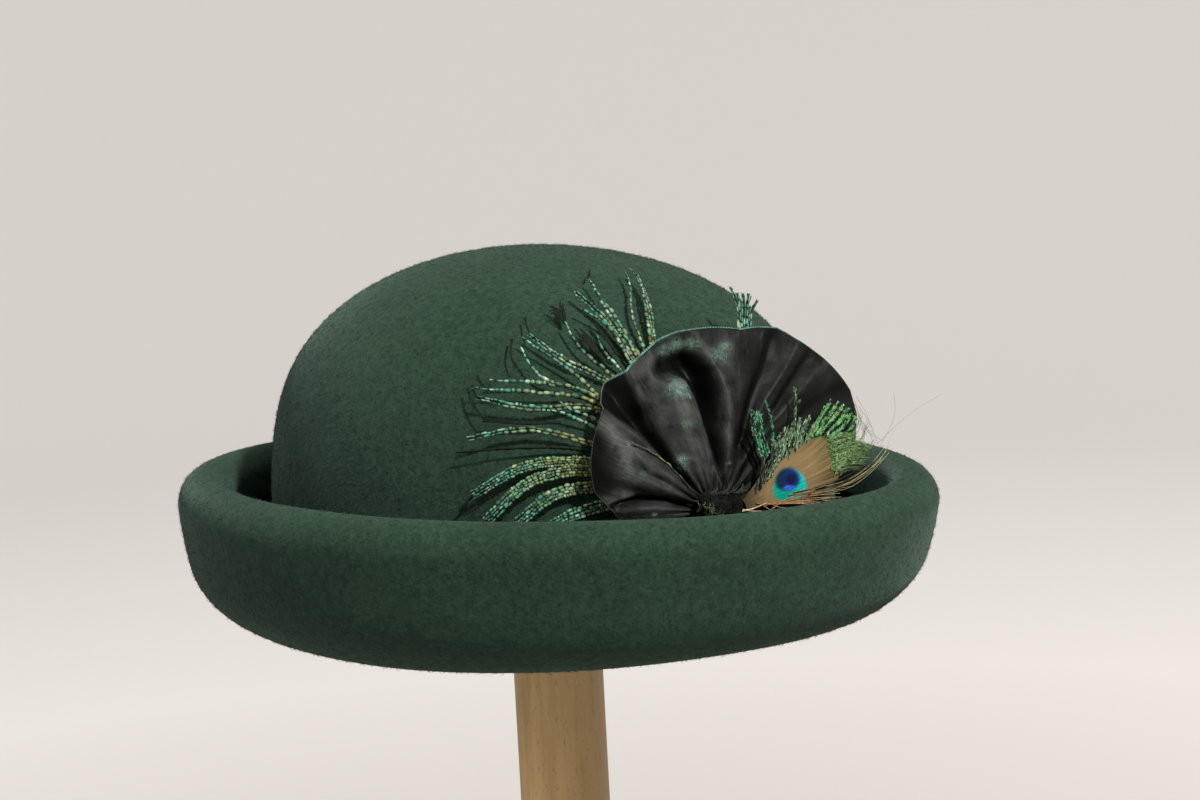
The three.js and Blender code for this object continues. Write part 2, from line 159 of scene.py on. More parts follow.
def wood(name, stretch):
    """Bare beech: long pale figure, short dark flecks, a faint satin sanding, and painted shade on its
    right side.
    """
    beech = Finish(name, specular_ior_level=0.35)
    place = beech.node("ShaderNodeTexCoord", output=3)
    grain = beech.node("ShaderNodeMapping", None, {0: place, 3: stretch})
    figure = beech.cloud(grain, 75, 3, 0.55)
    fine = beech.cloud(grain, 420, 2, 0.6)
    pore_stretch = tuple(max(s, PORE_STRETCH) for s in stretch)
    short = beech.node("ShaderNodeMapping", None, {0: place, 3: pore_stretch})
    fleck = beech.span(beech.cloud(short, 1300, 2, 0.6), 0.60, 0.74)
    blotch = beech.cloud(short, 120, 3, 0.6)
    tone = beech.span(figure * 0.45 + fine * 0.25 + blotch * 0.30, 0.38, 0.62)
    # Painted shade: the colour darkens towards the camera's right.
    toward_shade = beech.node("ShaderNodeVectorMath", {"operation": "DOT_PRODUCT"}, {0: place, 1: PAINTED_SHADE_WAY}, 1)
    painted_shade = beech.span(toward_shade + figure * 0.012, -0.010, 0.018)
    colour = beech.blend(painted_shade * 0.75, beech.blend(tone, WOOD_DARK, WOOD_LIGHT), WOOD_PAINTED_SHADE)
    beech.feed(
        base_color=beech.blend(fleck * 0.55, colour, WOOD_PORE),
        roughness=0.62 - tone * 0.14,
        normal=beech.bump(fine * 0.6 - fleck * 0.5, 0.25, 0.0004),
    )
    return beech


def spun(corners, steps, merge, closed=False):
    """A line of (radius, height) corners spun round the upright axis, with its seam and poles merged."""
    bm = bmesh.new()
    line = [bm.verts.new((r, 0, z)) for r, z in corners]
    ends = line[1:] + line[:1] if closed else line[1:]
    edges = [bm.edges.new(pair) for pair in zip(line, ends)]
    bmesh.ops.spin(bm, geom=line + edges, cent=(0, 0, 0), axis=(0, 0, 1),
                   angle=math.tau, steps=steps, use_merge=True)
    bmesh.ops.remove_doubles(bm, verts=bm.verts, dist=merge)
    return bm


def turned(corners, eased):
    """A body of the stand, turned from (radius, height) corners in mm, with its sharp edges eased."""
    bm = spun([(r * MM, z * MM) for r, z in corners], TURNED_STEPS, 1e-6)
    bmesh.ops.recalc_face_normals(bm, faces=bm.faces)
    sharp = [e for e in bm.edges if e.is_manifold and e.calc_face_angle() > SHARP_EDGE]
    bmesh.ops.bevel(bm, geom=sharp, offset=eased * MM, segments=3, profile=0.5,
                    affect="EDGES", clamp_overlap=True, material=-1)
    return bm


def place_piece(name, mesh, finish, slot, *nodes):
    """Links a mesh, or a bmesh, as one finished piece on the hat's only body."""
    if isinstance(mesh, bmesh.types.BMesh):
        bm = mesh
        mesh = bpy.data.meshes.new(name)
        bm.to_mesh(mesh)
        bm.free()
    mesh.shade_smooth()
    mesh.materials.append(finish.material)
    piece = bpy.data.objects.new(name, mesh)
    bpy.context.scene.collection.objects.link(piece)
    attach(piece, "root")
    if nodes:
        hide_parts(*nodes)
    return piece


upright_wood = wood("beech_upright", (1, 1, 0.045))
flat_wood = wood("beech_across", (0.05, 1, 1))
socket_r = POST_WIDTH / 2 + JOINT_GAP
base_floor = BASE_THICK - SOCKET_DEPTH
head_fall = HEAD_DOME - math.sqrt(HEAD_DOME ** 2 - (HEAD_WIDTH / 2) ** 2)
head_foot = STAND_HEIGHT - head_fall - HEAD_EDGE

base_round = []
for i in range(ROUND_STEPS + 1):
    a = i / ROUND_STEPS * math.pi / 2
    base_round.append((BASE_WIDTH / 2 - BASE_ROUND * (1 - math.cos(a)),
                       BASE_THICK - BASE_ROUND * (1 - math.sin(a))))
base = turned([(0, 0), (BASE_WIDTH / 2, 0), *base_round, (socket_r, BASE_THICK),
               (socket_r, base_floor), (0, base_floor)], EDGE_EASE)
place_piece("base_wood", base, flat_wood, "wood", "stand_base")

post_low = base_floor + JOINT_GAP
post_high = head_foot + SOCKET_DEPTH - JOINT_GAP
post_heights = [post_low + (post_high - post_low) * i / POST_STEPS for i in range(POST_STEPS + 1)]
post = turned([(0, post_low), *[(POST_WIDTH / 2, z) for z in post_heights], (0, post_high)], EDGE_EASE)
place_piece("post_wood", post, upright_wood, "wood", "stand_post")

dome = []
for i in range(DOME_STEPS + 1):
    r = HEAD_WIDTH / 2 * (1 - i / DOME_STEPS)
    dome.append((r, STAND_HEIGHT - HEAD_DOME + math.sqrt(HEAD_DOME ** 2 - r * r)))
head = turned([(0, head_foot + SOCKET_DEPTH), (socket_r, head_foot + SOCKET_DEPTH),
               (socket_r, head_foot), (HEAD_WIDTH / 2, head_foot), *dome], HEAD_EASE)
place_piece("head_wood", head, flat_wood, "wood", "stand_head")

# Crown: a dome of green wool felt, blocked over an oval form and left without a crease.
# The felt is matt, faintly mottled, and its nap stands up as a fine fuzz.
HAT_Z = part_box("brim")[0][2] / MM
HALF_WIDTH = 85
HALF_LENGTH = 102
CROWN_HEIGHT = 120
CROWN_SET_BACK = 5
FELT = 2.5
# Powers of the crown's profile: how square its shoulder is, and how full it is above.
CROWN_SHOULDER = 4.13
CROWN_FULLNESS = 1.935
CROWN_FOOT = FELT + JOINT_GAP
CROWN_RINGS = 56
CROWN_STEPS = 160
# How far hand blocking leaves the felt uneven, in mm, and how closely.
CROWN_UNEVEN = (0.35, 22)
# Fibres of the nap: how many, then the least and the greatest length, rise from the felt
# and half width, and how deep they are rooted, in mm.
CROWN_FIBRES = 42000
CROWN_FIBRE_LONG = (0.5, 1.6)
FIBRE_RISE = (0.12, 0.75)
FIBRE_HALF = (0.025, 0.055)
FIBRE_ROOT = 0.1
FELT_DARK = (0.0060, 0.0140, 0.0088, 1)
FELT_MIDDLE = (0.0102, 0.0225, 0.0146, 1)
FELT_LIGHT = (0.0158, 0.0328, 0.0220, 1)


def crown_ring(share):
    """Width of the crown at a share of its height, as a part of its width at the headline."""
    return max(1 - share ** CROWN_SHOULDER, 0) ** (1 / CROWN_FULLNESS)


def crown_point(t, z, out=0):
    """A point of the crown's surface at plan angle t and height z, moved out from the felt."""
    share = min(z / (CROWN_HEIGHT + out), 1)
    ring = crown_ring(share)
    x = (HALF_WIDTH + out) * math.cos(t) * ring
    y = (HALF_LENGTH + out) * math.sin(t) * ring + CROWN_SET_BACK * share ** 2
    return Vector((x, y, z + HAT_Z)) * MM


def felt_finish(name):
    """Matt wool felt: a drift of tone over the whole hat, a mottle of fibres and single pale wisps."""
    felt = Finish(name, specular_ior_level=0.05, sheen_weight=0.08, sheen_roughness=0.45,
                  sheen_tint=(0.55, 0.80, 0.68, 1))
    place = felt.node("ShaderNodeTexCoord", output=3)
    drift = felt.cloud(place, 35, 2)
    mottle = felt.cloud(place, 420, 3, 0.65)
    wisp = felt.cloud(place, 1300, 3, 0.7)
    tone = felt.span(drift * 0.16 + mottle * 0.44 + wisp * 0.40, 0.37, 0.63)
    stops = [(0.0, FELT_DARK), (0.5, FELT_MIDDLE), (1.0, FELT_LIGHT)]
    felt.feed(
        base_color=felt.node("ShaderNodeValToRGB", {"stops": stops}, {0: tone}),
        roughness=0.98 - mottle * 0.12,
        normal=felt.bump(wisp * 0.7 + mottle * 0.8, 0.5, 0.0008),
    )
    return felt


def hand_blocked(bm, depth, scale):
    """Gives felt the slight unevenness of hand blocking, depth in mm."""
    bm.normal_update()
    shifts = [v.normal * noise.noise(v.co * scale) * depth * MM for v in bm.verts]
    for v, shift in zip(bm.verts, shifts):
        v.co += shift


def nap(name, source, count, seed, finish, long):
    """Short wool fibres that stand out of a felt piece, each a closed sliver with three sides.

    Spinning leaves the faces in any order, so each starts at its first vertex and they are sorted.
    """
    draw = np.random.default_rng(seed)
    rings = []
    for face in source.data.polygons:
        ring = list(face.vertices)
        first = ring.index(min(ring))
        rings.append((ring[first:] + ring[:first])[:3])
    corners = np.array([[source.data.vertices[i].co for i in ring] for ring in sorted(rings)])
    normals = np.cross(corners[:, 1] - corners[:, 0], corners[:, 2] - corners[:, 1])
    areas = np.linalg.norm(normals, axis=1)
    chosen = draw.choice(len(areas), count, p=areas / areas.sum())
    corners = corners[chosen]
    normals = (normals / areas[:, None])[chosen]
    share = draw.random((count, 2))
    foot = corners[:, 0] + (corners[:, 1] - corners[:, 0]) * share[:, :1]
    foot += (corners[:, 2] - corners[:, 1]) * share[:, 1:]
    lie = np.cross(normals, draw.normal(size=(count, 3)))
    lie /= np.linalg.norm(lie, axis=1, keepdims=True)
    side = np.cross(normals, lie)
    length = draw.uniform(*long, (count, 1)) * MM
    rise = draw.uniform(*FIBRE_RISE, (count, 1))
    tip = foot + (lie + normals * rise) * length
    half = draw.uniform(*FIBRE_HALF, (count, 1)) * MM
    root = normals * FIBRE_ROOT * MM
    points = np.stack([foot - side * half - root, foot + side * half - root,
                       foot + normals * half, tip], axis=1).reshape(-1, 3)
    pattern = np.array([[0, 2, 1], [0, 1, 3], [1, 2, 3], [2, 0, 3]])
    triangles = (np.arange(count)[:, None, None] * 4 + pattern).reshape(-1, 3)
    mesh = bpy.data.meshes.new(name)
    mesh.from_pydata(points.tolist(), [], triangles.tolist())
    return place_piece(name, mesh, finish, "felt")


crown_line = []
for i in range(CROWN_RINGS + 1):
    z = CROWN_HEIGHT * math.sin(i / CROWN_RINGS * math.pi / 2) ** (2 / CROWN_SHOULDER)
    if z > CROWN_FOOT + 1 or not crown_line:
        z = max(z, CROWN_FOOT)
        crown_line.append((crown_ring(z / CROWN_HEIGHT), z))
crown_bm = spun(crown_line, CROWN_STEPS, 1e-5)
for v in crown_bm.verts:
    back = CROWN_SET_BACK * (v.co.z / CROWN_HEIGHT) ** 2
    v.co = Vector((v.co.x * HALF_WIDTH, v.co.y * HALF_LENGTH + back, v.co.z + HAT_Z)) * MM
bmesh.ops.recalc_face_normals(crown_bm, faces=crown_bm.faces)
hand_blocked(crown_bm, *CROWN_UNEVEN)
felt = felt_finish("green_felt")
crown = place_piece("crown_felt", crown_bm, felt, "felt", "crown")
nap("crown_nap", crown, CROWN_FIBRES, 11, felt, CROWN_FIBRE_LONG)
crown_wall = crown.modifiers.new("felt_thickness", "SOLIDIFY")
crown_wall.thickness = FELT * MM
crown_wall.offset = -1
crown_wall.use_even_offset = True

# Brim: felt of the same hood, steamed up all round and rolled in at the edge, so no cut edge shows.
# It meets the crown in a soft gutter, and the trim is sewn in that gutter.
BRIM_REACH = 32
BRIM_MARGIN = 3
# Radius of the turn up out of the gutter and of the edge's roll, and the drop of the felt inside it.
BRIM_TURN = 25.5
EDGE_ROLL = 8.4
EDGE_TAIL = 8
# How far the wall swells out, and the points of its section between which it does.
BRIM_SWELL = 0.9
SWELL_FROM = 5
SWELL_TO = 28
# Where the brim has given way in wear: how far it is tucked in, sags below and lifts above, in mm,
# each with its plan angle.
BRIM_TUCK = 2.2
TUCK_AT = math.radians(138)
BRIM_SAG = 2.0
SAG_AT = math.radians(196)
BRIM_LIFT = 1.8
LIFT_AT = math.radians(-12)
# Height of the brim at its four sides, and where its wall leaves the gutter.
BRIM_FRONT = 44
BRIM_LEFT = 44
BRIM_BACK = 50
BRIM_RIGHT = 48.5
WALL_FOOT = 4
TURN_STEPS = 14
WALL_STEPS = 7
ROLL_STEPS = 18
LIP_STEPS = 6
BRIM_STEPS = 192
SPIN_RADIUS = 100
BRIM_UNEVEN = (0.45, 18)
BRIM_FIBRES = 48000
BRIM_FIBRE_LONG = (0.5, 1.7)
mean_height = (BRIM_FRONT + BRIM_LEFT + BRIM_BACK + BRIM_RIGHT) / 4


def headline(t, out):
    """The headline's oval at plan angle t, moved out along its normal, in mm."""
    n = Vector((HALF_LENGTH * math.cos(t), HALF_WIDTH * math.sin(t))).normalized()
    return Vector((HALF_WIDTH * math.cos(t) + n.x * out, HALF_LENGTH * math.sin(t) + n.y * out))


def brim_height(t):
    """Height of the brim's edge at plan angle t, smooth through its four sides."""
    oval = (BRIM_LEFT + BRIM_RIGHT - BRIM_FRONT - BRIM_BACK) / 4
    lean = (BRIM_LEFT - BRIM_RIGHT) / 2 * math.cos(t) + (BRIM_BACK - BRIM_FRONT) / 2 * math.sin(t)
    return mean_height + lean + oval * math.cos(2 * t)


def towards(t, at, power):
    """How near plan angle t is to another, from 1 there down to 0."""
    return max(math.cos(t - at), 0) ** power


def brim_section(height):
    """The felt's section as (out, up) corners: along its outside to the rolled edge and back inside."""
    edge_w = BRIM_REACH - EDGE_ROLL
    edge_z = height - EDGE_ROLL
    run = math.hypot(edge_w - BRIM_MARGIN, edge_z - BRIM_TURN)
    wall = math.atan2(edge_z - BRIM_TURN, edge_w - BRIM_MARGIN)
    wall -= math.acos((BRIM_TURN - EDGE_ROLL) / run)

    def arc(w, z, r, start, end, steps):
        angles = [start + (end - start) * i / steps for i in range(steps + 1)]
        return [(w + r * math.cos(a), z + r * math.sin(a)) for a in angles]

    def side(felt_in):
        turn = arc(BRIM_MARGIN, BRIM_TURN, BRIM_TURN - felt_in, -math.pi / 2, wall, TURN_STEPS)
        roll = arc(edge_w, edge_z, EDGE_ROLL - felt_in, wall, math.pi, ROLL_STEPS)
        straight = [Vector(turn[-1]).lerp(Vector(roll[0]), i / WALL_STEPS) for i in range(1, WALL_STEPS)]
        line = [*turn, *straight, *roll]
        for i in range(SWELL_FROM, SWELL_TO):
            share = (i - SWELL_FROM) / (SWELL_TO - SWELL_FROM)
            swell = BRIM_SWELL * math.sin(math.pi * share) ** 2
            line[i] = (line[i][0] + swell * math.cos(wall), line[i][1] + swell * math.sin(wall))
        return [(-FELT, felt_in), *line, (edge_w - EDGE_ROLL + felt_in, edge_z - EDGE_TAIL * 0.5)]

    lip_w = edge_w - EDGE_ROLL + FELT / 2
    lip_z = edge_z - EDGE_TAIL + FELT / 2
    lip = arc(lip_w, lip_z, FELT / 2, math.pi, math.tau, LIP_STEPS)
    return [*side(0), *lip, *side(FELT)[::-1]]


brim_line = [(SPIN_RADIUS + w, z) for w, z in brim_section(mean_height)]
brim_bm = spun(brim_line, BRIM_STEPS, 1e-4, closed=True)
for v in brim_bm.verts:
    t = math.atan2(v.co.y, v.co.x)
    out = math.hypot(v.co.x, v.co.y) - SPIN_RADIUS
    up = min(max((v.co.z - WALL_FOOT) / (mean_height - EDGE_ROLL - WALL_FOOT), 0), 1)
    raised = v.co.z + (brim_height(t) - mean_height) * up * up * (3 - 2 * up)
    raised += BRIM_LIFT * towards(t, LIFT_AT, 4) * up * up
    raised -= BRIM_SAG * towards(t, SAG_AT, 5) * (1 - up) * min(max((out + 1) / 6, 0), 1)
    out -= BRIM_TUCK * towards(t, TUCK_AT, 6) * up * up
    flat = headline(t, out)
    v.co = Vector((flat.x, flat.y, raised + HAT_Z)) * MM
bmesh.ops.recalc_face_normals(brim_bm, faces=brim_bm.faces)
hand_blocked(brim_bm, *BRIM_UNEVEN)
brim = place_piece("brim_felt", brim_bm, felt, "felt", "brim")
nap("brim_nap", brim, BRIM_FIBRES, 12, felt, BRIM_FIBRE_LONG)

# Satin fan: a strip of black satin ribbon gathered to a point and spread into soft folds.
# It is sewn into the gutter at the wearer's right of the front, and leans back on the crown.
FAN_CLOTH = 0.35
SATIN_BLACK = (0.0014, 0.0016, 0.0015, 1)
SATIN_GREY = (0.056, 0.060, 0.058, 1)
# The trim's place: plan angle of its knot, how far out from the headline and how far up, in mm.
TRIM_AT = math.radians(250)
TRIM_OUT = 8
TRIM_UP = 43.5
# The fan's neck at the knot, how it leans back, arches back upwards and wraps round the crown.
FAN_NECK = 3.5
FAN_LEAN = 0.1
FAN_ARCH = 0.0035
FAN_WRAP = 0.005
FOLD_SHARE = 0.55
# Folds in order round the fan: angle at the outer edge, angle near the knot, reach from the knot,
# and how far the fold stands forward halfway out and at the edge.
FOLDS = np.array([
    (186, 184, 26, -1.5, -1.5),
    (177, 174, 29.5, 0, 0),
    (169, 163, 34.8, -2.5, -1.5),
    (151, 152, 39.2, 3, 2),
    (134, 132, 42.8, 5, 3),
    (123.5, 128, 46.6, -4.5, -2),
    (115, 119, 46.4, -0.5, 0),
    (101, 98, 50.4, 5, 0),
    (93, 80, 51.7, -5, -1),
    (85, 69, 52.5, 2, 0.5),
    (70, 62, 54.2, 0.5, 0.5),
    (57, 54, 59.7, -1.5, -0.5),
    (49.5, 49, 60.4, 0.6, 0.6),
    (44, 44, 61.8, -0.8, -0.6),
    (37, 38, 62.9, 0.5, 0.5),
    (31.5, 33, 64.4, -1, -0.7),
    (26, 28, 65.3, -2, -1.5),
    (19.5, 21, 63.2, -1.2, -0.9),
    (12, 14, 57, 0, 0),
    (0, 3, 38, 0, 0),
])
# Creases pressed into the cloth: how it bends, how far, over what width, and the places it runs through.
# A ridge stands forward on both sides of its line; a drop falls away to the right of its line,
# over a width that grows from the knot outward and is the given one at DROP_REACH.
DROP_REACH = 33
CREASES = [
    ("drop", 4.5, 7.0, [(-4, 4), (-13.6, 15.2), (-20.9, 25.2), (-29.9, 33.0), (-36, 39)]),
    ("ridge", 1.2, 1.3, [(-15.2, 26.3), (-17.2, 32.1), (-20.2, 40.9), (-22, 46)]),
    ("ridge", 0.6, 0.8, [(-8.8, 39.5), (-12.4, 46.9), (-13.5, 50)]),
    ("drop", 5.5, 5.5, [(3.6, 2), (2.2, 16.7), (1.6, 24.8), (-0.1, 32.8), (-2.6, 37.9), (-6.5, 39.6),
                        (-13, 39.5)]),
    ("ridge", 2.4, 2.4, [(3.5, 11.6), (5.5, 20.7), (7.7, 27.2), (8.6, 33.7), (7.3, 39.6), (4.2, 46.3)]),
    ("ridge", -3.5, 3.4, [(-14, 40), (-8, 43), (-1, 42.8), (3.5, 38), (5, 29), (5, 20)]),
    ("ridge", -2.2, 2.6, [(9, 13), (12, 19.5), (17.7, 30.5), (26.3, 41.4), (30, 52)]),
    ("ridge", 0.9, 1.0, [(15, 21), (22.5, 30.6), (32.2, 38.7), (43, 49)]),
    ("ridge", -1.5, 2.0, [(20, 22), (30, 31), (45, 42)]),
    ("ridge", 0.8, 1.0, [(17, 17), (24.3, 23.7), (31.6, 28.8), (50, 40)]),
    ("ridge", -1.4, 2.2, [(22, 16), (38, 26), (58, 34)]),
    ("drop", 3.4, 3.2, [(-33, 3.4), (-27.5, 5.4), (-21.6, 6.7), (-13.5, 5.7), (-5, 1.5)]),
    ("ridge", 1.6, 2.8, [(-31, 31), (-26.4, 18.5), (-25.2, 11.2), (-26.2, 7.4)]),
    ("ridge", -1.3, 1.5, [(-22.7, 15.8), (-16.7, 11.9), (-10.9, 8.3)]),
    ("ridge", 0.9, 1.0, [(-24, 22), (-19, 13.6), (-11, 9.8)]),
]
# Where the satin is grey, partly rubbed and partly painted light, with thin painted highlights on ridges,
# or below 0 painted shade that keeps it black: how strongly, over what width, and along which places.
WORN_ALL_OVER = 0.14
LIGHT_SHADE_AND_WEAR = [
    (0.72, 4.6, [(-5.5, 36), (-5.0, 28), (-4.5, 18), (-3.5, 10)]),
    (0.68, 3.6, [(-3.5, 35), (-1.4, 28), (-0.6, 20), (0.6, 12)]),
    (0.45, 4.0, [(-10, 34), (-10, 22), (-7, 12)]),
    (1.00, 3.2, [(-30, 28), (-26, 18.5), (-25, 11), (-26, 7)]),
    (0.60, 7.0, [(-25, 21), (-20, 14), (-13, 10)]),
    (0.85, 2.0, [(-12, 44.5), (-7, 47.2), (0, 47.8), (5, 46.6)]),
    (0.30, 2.6, [(6, 45), (9, 42), (12, 43)]),
    (0.66, 4.2, [(-17.0, 43), (-14.0, 34), (-11, 25)]),
    (0.38, 3.0, [(-26, 2.0), (-18, 1.6), (-10, 0)]),
    (0.55, 2.4, [(8.4, 39), (8.8, 34), (8.2, 27), (6.8, 20), (5.2, 12)]),
    (0.30, 4.0, [(13, 49), (12, 42), (10.5, 33)]),
    (0.24, 2.4, [(36, 44), (27, 37), (21, 31.5)]),
    (0.30, 2.2, [(49, 38), (40, 34.5), (34, 31)]),
    (1.00, 0.45, [(-14.6, 24.5), (-15.6, 27.3), (-17.2, 32.1), (-20.2, 40.9), (-22, 46)]),
    (1.00, 0.40, [(-8.8, 39.5), (-12.4, 46.9), (-13.5, 50)]),
    (0.40, 0.25, [(14.8, 38), (16.6, 45.2), (17.8, 54)]),
    (0.40, 0.25, [(11.0, 42), (12.5, 52)]),
    (0.30, 0.25, [(19.2, 44), (20.2, 53)]),
    (0.55, 0.40, [(17, 28), (23, 39.1), (26.4, 49.9)]),
    (0.50, 0.40, [(22.5, 30.6), (32.2, 38.7), (43, 49)]),
    (0.40, 0.40, [(24.3, 23.7), (31.6, 28.8), (50, 40)]),
    (-1.0, 4.0, [(-28, 38), (-24.5, 36), (-21, 30)]),
    (-1.0, 3.2, [(29.7, 48), (21.6, 37.5), (16.0, 28.4), (12.0, 16), (9.6, 6.7)]),
    (-1.0, 2.6, [(-9.0, 42.2), (-5, 42.4), (0, 41.2), (3.2, 38), (4.4, 33)]),
    (-0.9, 1.8, [(42.5, 42), (33.0, 34.3), (26, 27.8)]),
    (-1.0, 3.6, [(58, 30), (47, 30), (37, 27)]),
    (-1.0, 3.4, [(-33, 24), (-34.5, 14), (-34, 6), (-29, 0)]),
]
# Pale down caught on the satin: place, size and strength of each patch.
DOWN_SPOTS = [
    (-6.4, 36.2, 3.0, 1.0), (-4.0, 34.0, 1.6, 0.6), (-7.7, 15.6, 1.7, 1.0), (-7.9, 13.2, 1.3, 0.5),
    (-17.9, 0.8, 0.6, 1.0), (6.1, 13.7, 0.7, 0.9), (-7.0, 46.8, 2.2, 0.7), (-3.0, 48.0, 2.4, 0.8),
    (1.8, 48.2, 2.2, 0.7), (9.6, 44.6, 3.0, 0.45), (12.4, 46.6, 1.8, 0.6), (-6.2, 26.0, 1.8, 0.3),
    (-24.5, 21.5, 1.6, 0.35), (-21.5, 13.0, 2.0, 0.2),
]
SATIN_DOWN = (0.100, 0.165, 0.135, 1)
# Over what length a crease dies out at its two ends.
CREASE_FADE = 6
FOLD_COLUMNS = 16
FAN_ROWS = 84

trim_foot = headline(TRIM_AT, TRIM_OUT)
trim_out = Vector((HALF_LENGTH * math.cos(TRIM_AT), HALF_WIDTH * math.sin(TRIM_AT))).normalized()


def mix(a, b, s):
    return a + (b - a) * s


def ease(s):
    """A smooth step from 0 to 1 as s goes from 0 to 1."""
    return (1 - np.cos(np.pi * np.clip(s, 0, 1))) / 2


def trim_point(x, y, forward):
    """A point in the trim's own frame: x along the crown, y up from the knot, forward from the crown."""
    return Vector((
        trim_foot.x - trim_out.y * x + trim_out.x * forward,
        trim_foot.y + trim_out.x * x + trim_out.y * forward,
        TRIM_UP + y + HAT_Z,
    )) * MM


def fan_lean(x, y):
    """How far forward the fan stands at a place before it is folded."""
    up = np.maximum(y, 0)
    return -FAN_LEAN * up - FAN_ARCH * up * up - FAN_WRAP * x * x


def off_line(x, y, line):
    """Distance of each place from a line through the given points, above 0 to the right of it,
    and how near that is to the line's two ends, along it."""
    best = np.full(np.shape(x), 1e9)
    side = np.ones(np.shape(x))
    run = np.zeros(np.shape(x))
    total = 0.0
    for (ax, ay), (bx, by) in zip(line, line[1:]):
        dx, dy = bx - ax, by - ay
        long = math.hypot(dx, dy)
        s = np.clip(((x - ax) * dx + (y - ay) * dy) / long ** 2, 0, 1)
        gap = np.hypot(x - ax - s * dx, y - ay - s * dy)
        near = gap < best
        best = np.where(near, gap, best)
        side = np.where(near, np.where((x - ax) * dy - (y - ay) * dx > 0, 1, -1), side)
        run = np.where(near, total + s * long, run)
        total += long
    return best * side, np.minimum(run, total - run)


def drop_width(width, x, y):
    """How wide a drop falls away at a place, wider further from the knot."""
    return width * np.clip((np.hypot(x, y) / DROP_REACH) ** 2, 0.12, 1.6)


def fan_place(along, outward):
    """The cloth's middle surface: along the ribbon and outward from the knot, arrays from 0 to 1."""
    places = np.linspace(0, 1, len(FOLDS))
    edge, neck, reach = (np.interp(along, places, FOLDS[:, c]) for c in range(3))
    k = np.clip((along * (len(FOLDS) - 1)).astype(int), 0, len(FOLDS) - 2)
    s = ease(along * (len(FOLDS) - 1) - k)
    middle, rim = (FOLD_SHARE * mix(FOLDS[k, c], FOLDS[k + 1, c], s) for c in (3, 4))
    q = outward
    r = mix(FAN_NECK, reach, q)
    angle = np.radians(mix(neck, edge, np.clip((r - 15) / 35, 0, 1)))
    rise = 0.1 * middle * (1 - q) * (1 - 2 * q) + 4 * middle * q * (1 - q) + rim * q * (2 * q - 1)
    x, y = r * np.cos(angle), r * np.sin(angle)
    for kind, height, width, line in CREASES:
        gap, end = off_line(x, y, line)
        if kind == "ridge":
            bend = height * np.exp(-(gap / width) ** 2)
        else:
            fallen = np.exp(-(np.maximum(gap - 1.2, 0) / drop_width(width, x, y)) ** 2)
            bend = -height * np.minimum(r / DROP_REACH, 1) * ease((gap + 0.4) / 1.6) * fallen
        rise = rise + bend * ease((r - 4) / 7) * ease(end / CREASE_FADE) * (1 - 0.5 * q ** 4)
    rise = rise + 0.5 * np.exp(-(r / 13) ** 2) * np.sin(angle * 34)
    soft = [0.7 * noise.noise(Vector((a * 9, b * 0.04, 2.5)))
            + 0.5 * noise.noise(Vector((c * 0.17, d * 0.17, 7.7)))
            for a, b, c, d in zip(angle.ravel(), r.ravel(), x.ravel(), y.ravel())]
    return x, y, fan_lean(x, y) + rise + np.reshape(soft, np.shape(x)) * np.minimum(r / 25, 1)


def light_shade_and_wear_at(x, y):
    """How grey the satin is at each place: rubbed, painted light, and painted shade in every drop's
    hollow.
    """
    total = np.full(np.shape(x), WORN_ALL_OVER)
    for strength, width, line in LIGHT_SHADE_AND_WEAR:
        gap, _ = off_line(x, y, line)
        near = np.exp(-(gap / width) ** 2)
        total = np.maximum(total, strength * near) if strength > 0 else total * (1 + strength * near)
    # Painted shade: the hollow beyond every drop is darkened back towards black.
    for kind, _, width, line in CREASES:
        if kind == "drop":
            gap, end = off_line(x, y, line)
            fallen = np.exp(-(np.maximum(gap - 0.8, 0) / drop_width(width, x, y)) ** 4)
            fallen *= ease((gap + 0.3) / 0.9)
            total = total * (1 - 0.92 * fallen * ease(end / CREASE_FADE))
    return total


def down_at(x, y):
    """How much pale down lies on the satin at each place."""
    total = np.zeros(np.shape(x))
    for spot_x, spot_y, size, strength in DOWN_SPOTS:
        spread = ((x - spot_x) / size) ** 2 + ((y - spot_y) / (0.75 * size)) ** 2
        total = np.maximum(total, strength * np.exp(-spread))
    return total


satin = Finish("black_satin", specular_ior_level=0.04)
weave = satin.node("ShaderNodeUVMap", {"uv_map": "ribbon"})
threads = satin.node("ShaderNodeMapping", None, {0: weave, 3: (60.0, 1.5, 1.0)})
slub = satin.cloud(threads, 6, 2, 0.6)
place = satin.node("ShaderNodeTexCoord", output=3)
rubbed = satin.cloud(place, 150, 5, 0.65)
# The grey is partly rubbed wear and partly painted light and painted shade, carried in an attribute.
worn = satin.node("ShaderNodeAttribute", {"attribute_name": "worn"}, None, 2)
light_and_dust = worn * satin.span(rubbed * 0.7 + slub * 0.3, 0.30, 0.68)
lint = satin.node("ShaderNodeAttribute", {"attribute_name": "down"}, None, 2)
fluff = lint * satin.span(satin.cloud(place, 600, 5, 0.7), 0.30, 0.66)
satin.feed(
    base_color=satin.blend(fluff, satin.blend(light_and_dust, SATIN_BLACK, SATIN_GREY), SATIN_DOWN),
    roughness=0.42 + light_and_dust * 0.2,
    normal=satin.bump(slub * 0.7 + rubbed * 1.5, 0.25, 0.0005),
)

